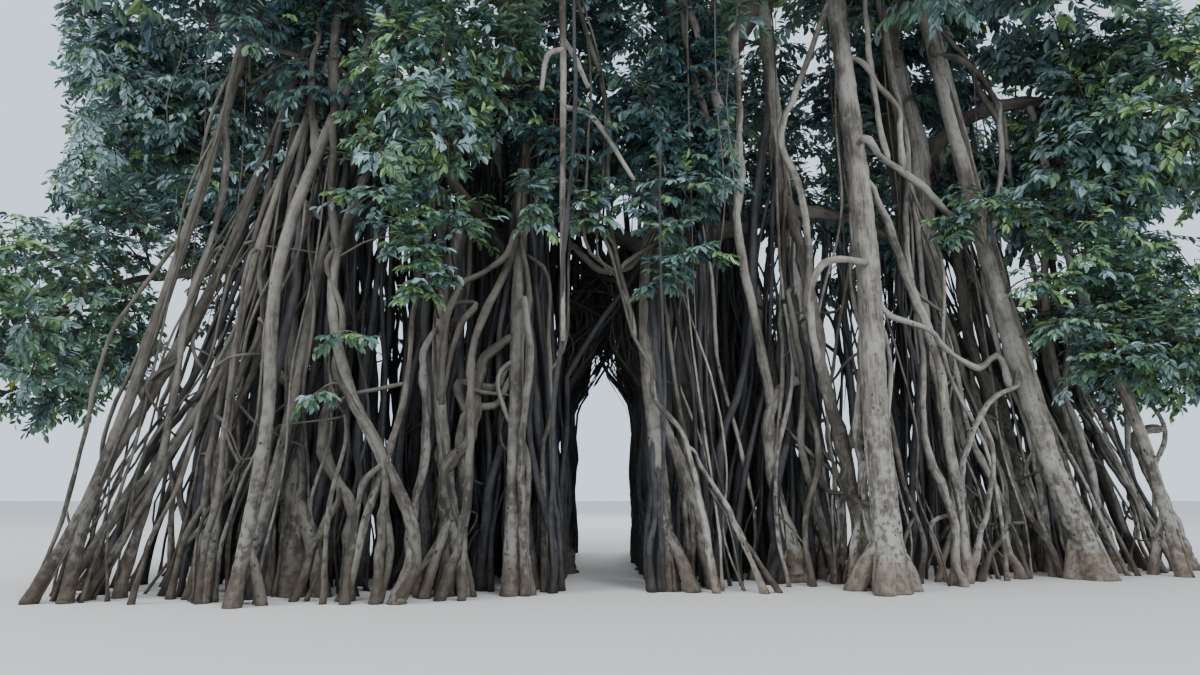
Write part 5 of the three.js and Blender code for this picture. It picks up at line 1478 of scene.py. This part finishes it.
# Sides and points of stems and twigs, and of the lines that places are kept clear of
STEM_POINTS, STEM_SIDES, STEM_UNEVEN = 16, 9, 0.06
SHOOT_POINTS, SHOOT_SIDES = 6, 4
MAIN_SIDES, THIN_SIDES = 6, 3
LINE_POINTS = 15
TRIES_EACH = 14
SHORTEST_SPAN = 0.05
LEAFY_PROP = (40, 0, 0.7)

# A leaf's corners along and across it from its stalk, and how far each is lifted
LEAF_OUTLINE = [(0.0, 0, 0), (0.36, 1.0, 0.05), (0.74, 0.72, 0.01), (1.0, 0, -0.12), (0.74, -0.72, 0.01),
                (0.36, -1.0, 0.05)]
LEAF_FACES = np.array([[0, 1, 2], [0, 2, 3], [0, 3, 4], [0, 4, 5]])


def share_of(mass, places):
    return np.linalg.norm((places - np.array(mass.centre)) / np.array(mass.reach), axis=-1)


def inside_left_edge(places):
    slope = np.interp(places[:, 2], LEFT_EDGE_HEIGHTS, LEFT_EDGE_SLOPES)
    return places[:, 0] - EYE[0] > slope * (places[:, 1] - EYE[1])


def in_own_space(mass, places):
    """Whether each place is nearer to this mass's middle than to any other's, and neither in the passage
    nor where the mass is open or cut back."""
    own = share_of(mass, places)
    fits = own <= 1
    closed = [(PASSAGE_LOW - CLEAR_OF_PASSAGE, PASSAGE_HIGH + CLEAR_OF_PASSAGE)]
    if mass.open:
        closed.append(mass.open)
    for low, high in closed:
        fits &= ~((places > low) & (places < high)).all(axis=-1)
    if mass.cut_back:
        fits &= inside_left_edge(places)
    for other in MASSES.values():
        if other is not mass:
            fits &= share_of(other, places) > own + CLEAR_OF_MASSES
    return fits


def limb_lines():
    """Short straight runs along every limb: where each starts and ends, and its radius."""
    starts, ends, radii = [], [], []
    for limb in limbs.values():
        share = np.linspace(0, 1, LINE_POINTS)
        line = limb.course.at(share)
        starts.append(line[:-1])
        ends.append(line[1:])
        radii.append(limb.radius_at(share[:-1]))
    return np.concatenate(starts), np.concatenate(ends), np.concatenate(radii)


def clear_of_limbs(places, lines, room):
    starts, ends, radii = lines
    run = ends - starts
    squared = np.sum(run * run, axis=1)
    clear = np.ones(len(places), bool)
    for low in range(0, len(places), PLACES_AT_ONCE):
        part = places[low:low + PLACES_AT_ONCE]
        share = np.einsum("psk,sk->ps", part[:, None] - starts[None], run) / squared
        closest = starts + run * np.clip(share, 0, 1)[..., None]
        gap = np.linalg.norm(part[:, None] - closest, axis=2)
        clear[low:low + PLACES_AT_ONCE] = (gap > radii + room + CLEAR_OF_LIMBS).all(axis=1)
    return clear


def stem_of(mass):
    """Points and radii of the stem, which goes straight on from a limb's tip, or starts inside a trunk,
    to the middle of the mass."""
    centre = np.array(mass.centre)
    limb = limbs[mass.limb]
    if mass.height:
        start = limb.course.at_height(mass.height)
        return [start, (start + centre) / 2, centre], (SIDE_STEM, STEM_END)
    along = limb.course.tangent(1.0)[0]
    start = limb.course.at(1.0)[0] - along * STEM_BACK
    lead = start + along * (STEM_LEAD + STEM_BACK)
    return [start, lead, lead + (centre - lead) * STEM_TURN, centre], (limb.radius[1] * STEM_FIT, STEM_END)


def scatter(mass, random, count, low, outward):
    """Places in the mass's own space, more of them towards its outside, within a ragged edge."""
    tries = random.uniform(-1, 1, (count * TRIES_EACH, 3))
    share = np.linalg.norm(tries, axis=1)
    phase = random.uniform(0, 2 * math.pi, 6)
    swing = unit(tries) @ LUMPS
    lumps = 0.5 + np.sin(swing + phase[:3]).mean(axis=1)
    keep = (share < OUTER_SHARE - mass.ragged * lumps) & (share > low)
    keep &= random.uniform(0, 1, len(tries)) < share**outward
    places = np.array(mass.centre) + tries[keep] * np.array(mass.reach)
    return places[in_own_space(mass, places)][:count]


def curves(starts, ends, random, lift, count, sway):
    """Lines from starts to ends with a rise or sag in the middle."""
    span = np.linalg.norm(ends - starts, axis=1, keepdims=True)
    middle = (starts + ends) / 2 + UP * lift * span + random.normal(0, sway, starts.shape) * span
    t = np.linspace(0, 1, count)[None, :, None]
    return starts[:, None] * (1 - t) ** 2 + 2 * middle[:, None] * t * (1 - t) + ends[:, None] * t**2


def attach(targets, forks, hub, pull):
    """For each target the nearest fork, those nearer the hub being preferred, and how far it is."""
    gaps = np.linalg.norm(targets[:, None] - forks[None], axis=2)
    outer = np.linalg.norm(forks - hub, axis=1)[None] - np.linalg.norm(targets - hub, axis=1)[:, None]
    index = np.argmin(gaps + pull * np.maximum(outer, 0), axis=1)
    return forks[index], gaps[np.arange(len(targets)), index]


def tapered(lines, radius, size=1.0):
    first, last = radius
    return np.repeat(np.linspace(first * size, last * size, lines.shape[1])[None], len(lines), axis=0)


def along_lines(lines, place):
    """Points at shares of each line, and the way the line runs there."""
    step = place * (lines.shape[1] - 1)
    index = np.minimum(step.astype(int), lines.shape[1] - 2)
    part = (step - index)[None, :, None]
    base = lines[:, index] * (1 - part) + lines[:, index + 1] * part
    return base, unit(lines[:, index + 1] - lines[:, index])


def either_side(count, reach):
    """How far to the side each of a row of sprays or leaves points: left and right in turn, and the last
    straight on."""
    way = np.where(np.arange(count) % 2, 1.0, -1.0)
    way[-1] = 0.0
    return (way * reach)[None, :, None]


def leaves_on(twigs, outward, size, random, droop, per_spray):
    """Leaves to either side of each spray's twig in turn, and one at its tip."""
    base, along = along_lines(twigs, np.linspace(LEAVES_FROM, 1.0, per_spray))
    sideways = unit(np.cross(along, outward[:, None] + UP * LEAF_RISE))
    direction = along + sideways * either_side(per_spray, LEAF_SPREAD)
    direction = unit(direction + random.normal(0, LEAF_SCATTER, base.shape) - UP * droop)
    normal = outward[:, None] * LEAF_OUTWARD + UP * LEAF_UPWARD + random.normal(0, LEAF_TILT, base.shape)
    normal = unit(normal - direction * np.sum(normal * direction, axis=2, keepdims=True))
    length = size * random.uniform(*LEAF_LENGTHS, base.shape[:2])
    return base.reshape(-1, 3), direction.reshape(-1, 3), normal.reshape(-1, 3), length.reshape(-1)


def leaf_colours(random, sprays, per_spray, tone):
    """One colour for each spray, with a yellow leaf here and there."""
    shares = TONES[tone]
    colours = np.repeat(random.choice(len(shares), size=sprays, p=shares), per_spray)
    return np.where(random.uniform(0, 1, len(colours)) < YELLOW_SHARE, YELLOW_LEAF, colours)


def leaf_mesh(name, base, direction, normal, length, colour):
    """Each leaf is a six-cornered blade folded at its midrib, its tip bent down."""
    side = np.cross(direction, normal)
    size = length[:, None]
    half = 0.5 * LEAF_WIDTH * size
    corners = [base + direction * size * along + side * half * across + normal * size * lift
               for along, across, lift in LEAF_OUTLINE]
    places = np.stack(corners, axis=1).reshape(-1, 3)
    first = np.arange(len(base))[:, None, None] * len(LEAF_OUTLINE)
    faces = (first + LEAF_FACES[None]).reshape(-1, 3)
    return mesh_of(name, places, [faces], LEAVES, np.repeat(colour, len(LEAF_FACES)))


def branch_out(mass, bundle, stem, random, lines):
    """Main twigs by the golden angle, side twigs to places all through the mass, and sprays on those."""
    centre, reach = np.array(mass.centre), np.array(mass.reach)
    starts, ends = [], []
    for i in range(MAIN_TWIGS):
        height = 1 - 2 * (i + 0.5) / MAIN_TWIGS
        ring = math.sqrt(1 - height * height)
        turn = i * GOLDEN_ANGLE + TWIG_WANDER * random.uniform()
        aim = np.array([ring * math.cos(turn), ring * math.sin(turn), height])
        place = ((i * TWIG_ORDER) % MAIN_TWIGS) / MAIN_TWIGS
        for share in TWIG_REACH:
            target = centre + aim * reach * share
            if in_own_space(mass, target[None])[0] and clear_of_limbs(target[None], lines, MAIN_ROOM)[0]:
                starts.append(stem.at(TWIG_FIRST - TWIG_STRETCH * place)[0])
                ends.append(target)
                break
    size = float(np.cbrt(np.prod(reach)))
    main = curves(np.array(starts), np.array(ends), random, *MAIN_CURVE)
    bundle.add(main, tapered(main, MAIN_RADIUS, size), MAIN_SIDES)
    forks = np.concatenate([main[:, 2:].reshape(-1, 3), stem.evenly(8, 0.5)])
    count = max(LEAST_SIDE_TWIGS, mass.sprays // SPRAYS_ON_TWIG)
    targets = scatter(mass, random, count, INNER_SHARE, SIDE_OUTWARD)
    targets = targets[clear_of_limbs(targets, lines, SIDE_ROOM)]
    starts, gap = attach(targets, forks, centre, SIDE_PULL)
    near = gap < SIDE_SPAN * size
    side = curves(starts[near], targets[near], random, *SIDE_CURVE)
    bundle.add(side, tapered(side, SIDE_TWIG_RADIUS, size), THIN_SIDES)
    forks = np.concatenate([side[:, 2:].reshape(-1, 3), main[:, 5:].reshape(-1, 3)])
    spread = scatter(mass, random, mass.sprays // 2, INNER_SHARE, SPRAY_OUTWARD)
    clumps = side[random.integers(len(side), size=mass.sprays - len(spread)), -1]
    targets = np.concatenate([spread, clumps + random.normal(0, CLUMP_SPREAD, clumps.shape)])
    starts, gap = attach(targets, forks, centre, SPRAY_PULL)
    near = gap < SPRAY_SPAN * size
    targets, starts = targets[near], starts[near]
    span = np.linalg.norm(targets - starts, axis=1, keepdims=True)
    targets = starts + (targets - starts) / np.maximum(span, SHORTEST_SPAN) * np.clip(span, *SPRAY_LENGTH)
    keep = in_own_space(mass, targets) & clear_of_limbs(targets, lines, SPRAY_ROOM)
    keep &= targets[:, 2] < CROWN_TOP
    twigs = np.stack([starts[keep], targets[keep]], axis=1)
    bundle.add(twigs, tapered(twigs, SPRAY_RADIUS), THIN_SIDES)
    return main.reshape(-1, 3), twigs, unit(targets[keep] - centre)


def make_mass(number, name, mass, lines):
    """The leaves and twigs of a mass. Returns points along its main twigs."""
    random = random_source(number)
    points, (thick, thin) = stem_of(mass)
    stem = Course(points)
    bundle = Bundle()
    share = np.linspace(0, 1, STEM_POINTS)
    width = (thick + (thin - thick) * share)[None]
    bundle.add(stem.at(share)[None], width, STEM_SIDES, uneven=STEM_UNEVEN, random=random)
    main, twigs, outward = branch_out(mass, bundle, stem, random, lines)
    droop = SHADED_DROOP if mass.tone == "shaded" else DROOP
    leaves = leaves_on(twigs, outward, mass.leaf, random, droop, SPRAY_LEAVES)
    colours = leaf_colours(random, len(twigs), SPRAY_LEAVES, mass.tone)
    hand_in(leaf_mesh("leaves_" + name, *leaves, colours), "foliage_" + name)
    hand_in(bundle.piece("twigs_" + name, [TWIG_BARK]))
    return main


def shoots_in(part, points, random):
    """Middle and reach of each shoot of a leafy part, none further from a limb than its stem is long."""
    if part.at:
        return [(np.array(centre), np.array(reach)) for centre, reach in part.at]
    shoots = []
    for _ in range(part.count):
        centre = random.uniform(part.low, part.high)
        carrier, gap = nearest(points, centre, LIMB_WEIGHT)
        if gap > SHOOT_STEM:
            centre = carrier + (centre - carrier) * SHOOT_STEM / gap
        shoots.append((centre, part.size * random.uniform(*SHOOT_SIZES) * SHOOT_SHAPE))
    return shoots


def grow_shoot(centre, reach, branches, points, bundle, random, lines):
    """A stem from the nearest limb, branchlets on all sides of it, and sprays to either side of those."""
    start, _ = nearest(points, centre, LIMB_WEIGHT)
    stem = Course([start, (start + centre) / 2 + UP * SHOOT_RISE, centre])
    stem_line = stem.evenly(SHOOT_POINTS)[None]
    bundle.add(stem_line, tapered(stem_line, SHOOT_RADIUS), SHOOT_SIDES)
    turn = np.arange(branches) * GOLDEN_ANGLE + random.uniform(0, 2 * math.pi)
    level = random.uniform(-1.0, 1.0, branches)
    wide = np.sqrt(1 - BRANCHLET_DOME * level**2) * random.uniform(*BRANCHLET_REACH, branches)
    ends = centre + reach * np.stack([wide * np.cos(turn), wide * np.sin(turn), level], axis=1)
    forks = stem.at(random.uniform(*BRANCHLETS_FROM, branches))
    branchlets = curves(forks, ends, random, *BRANCHLET_CURVE)
    bundle.add(branchlets, tapered(branchlets, BRANCHLET_RADIUS), THIN_SIDES)
    base, along = along_lines(branchlets, np.linspace(SHOOT_SPRAYS_FROM, 1.0, BRANCH_SPRAYS))
    sideways = unit(np.cross(along, UP))
    direction = along + sideways * either_side(BRANCH_SPRAYS, SHOOT_SPREAD)
    direction = direction + random.normal(0, SHOOT_SCATTER, base.shape)
    length = random.uniform(*SHOOT_SPRAY_LENGTH, (*base.shape[:2], 1)) * min(reach[0], 1.0)
    tips = (base + unit(direction - UP * SHOOT_SAG) * length).reshape(-1, 3)
    base = base.reshape(-1, 3)
    keep = clear_of_limbs(tips, lines, 0.0) & inside_left_edge(tips)
    twigs = np.stack([base[keep], tips[keep]], axis=1)
    bundle.add(twigs, tapered(twigs, SHOOT_SPRAY_RADIUS), THIN_SIDES)
    return twigs, unit(unit(tips[keep] - base[keep]) * SHOOT_OUTWARD + UP)


def make_shoots(number, name, parts, points, lines):
    random = random_source(FIRST_SHOOT_DRAW + number)
    bundle = Bundle()
    leaves, colours = [], []
    for part in parts:
        for centre, reach in shoots_in(part, points, random):
            twigs, outward = grow_shoot(centre, reach, part.branches, points, bundle, random, lines)
            leaves.append(leaves_on(twigs, outward, part.leaf, random, part.droop, SHOOT_LEAVES))
            colours.append(leaf_colours(random, len(twigs), SHOOT_LEAVES, part.tone))
    gathered = [np.concatenate(group) for group in zip(*leaves)]
    hand_in(leaf_mesh("leaves_shoots_" + name, *gathered, np.concatenate(colours)))
    hand_in(bundle.piece("twigs_shoots_" + name, [TWIG_BARK]))


def make_foliage():
    lines = limb_lines()
    main_twigs = [make_mass(number, name, mass, lines) for number, (name, mass) in enumerate(MASSES.items())]
    low_props = [limb.course.evenly(*LEAFY_PROP) for name, limb in limbs.items() if name.startswith("prop")]
    on_limbs = np.concatenate([carriers(), *low_props])
    for number, (name, parts) in enumerate(SHOOTS.items()):
        points = np.concatenate(main_twigs) if name == "crown" else on_limbs
        make_shoots(number, name, parts, points, lines)


# Camera, floor and light: each lamp's place, what it points at, its size and its power in watts
LOOK_UP = math.radians(9.75)
LENS_MM = 26.1
SENSOR_MM = 36
SEEN_TO = 300
FLOOR_SIZE = 160
FLOOR_COLOUR = (0.62, 0.6, 0.57)
FLOOR_ROUGHNESS = 0.9
SKY_COLOUR = (0.73, 0.855, 1.0, 1)
SKY_STRENGTH = 1.4
LAMPS = {
    "light_front": ((16, -22, 22), (4, 0, 4), 12, 4700),
    "light_left": ((-20, -14, 20), (-9, 0, 10), 10, 4500),
    "light_low": ((-2, -32, 14), (0, 0, 9), 12, 1300),
    "light_back": ((4, 26, 22), (2, 0, 6), 12, 4500),
}


def make_camera():
    view = bpy.data.cameras.new("camera")
    view.lens = LENS_MM
    view.sensor_width = SENSOR_MM
    view.clip_end = SEEN_TO
    camera = bpy.data.objects.new("camera", view)
    camera.location = EYE
    camera.rotation_euler = (math.pi / 2 + LOOK_UP, 0, 0)
    bpy.context.scene.collection.objects.link(camera)
    bpy.context.scene.camera = camera


def make_floor():
    bpy.ops.mesh.primitive_plane_add(size=FLOOR_SIZE, location=(0, 0, 0))
    floor = bpy.context.object
    floor.name = "floor"
    finish = Finish("floor", FLOOR_ROUGHNESS)
    finish.fill(finish.shader, {"Base Color": FLOOR_COLOUR})
    floor.data.materials.append(finish.material)


def make_light():
    world = bpy.data.worlds.new("world")
    world.use_nodes = True
    sky = world.node_tree.nodes["Background"]
    sky.inputs["Color"].default_value = SKY_COLOUR
    sky.inputs["Strength"].default_value = SKY_STRENGTH
    bpy.context.scene.world = world
    for name, (place, target, size, watts) in LAMPS.items():
        lamp = bpy.data.lights.new(name, "AREA")
        lamp.size = size
        lamp.energy = watts
        light = bpy.data.objects.new(name, lamp)
        x, y, z = np.array(target, float) - np.array(place, float)
        light.location = place
        light.rotation_euler = (math.atan2(math.hypot(x, y), -z), 0, math.atan2(-x, y))
        bpy.context.scene.collection.objects.link(light)


make_camera()
make_trunks_and_boughs()
make_props()
make_hanging_root()
make_roots()
make_foliage()
make_floor()
make_light()
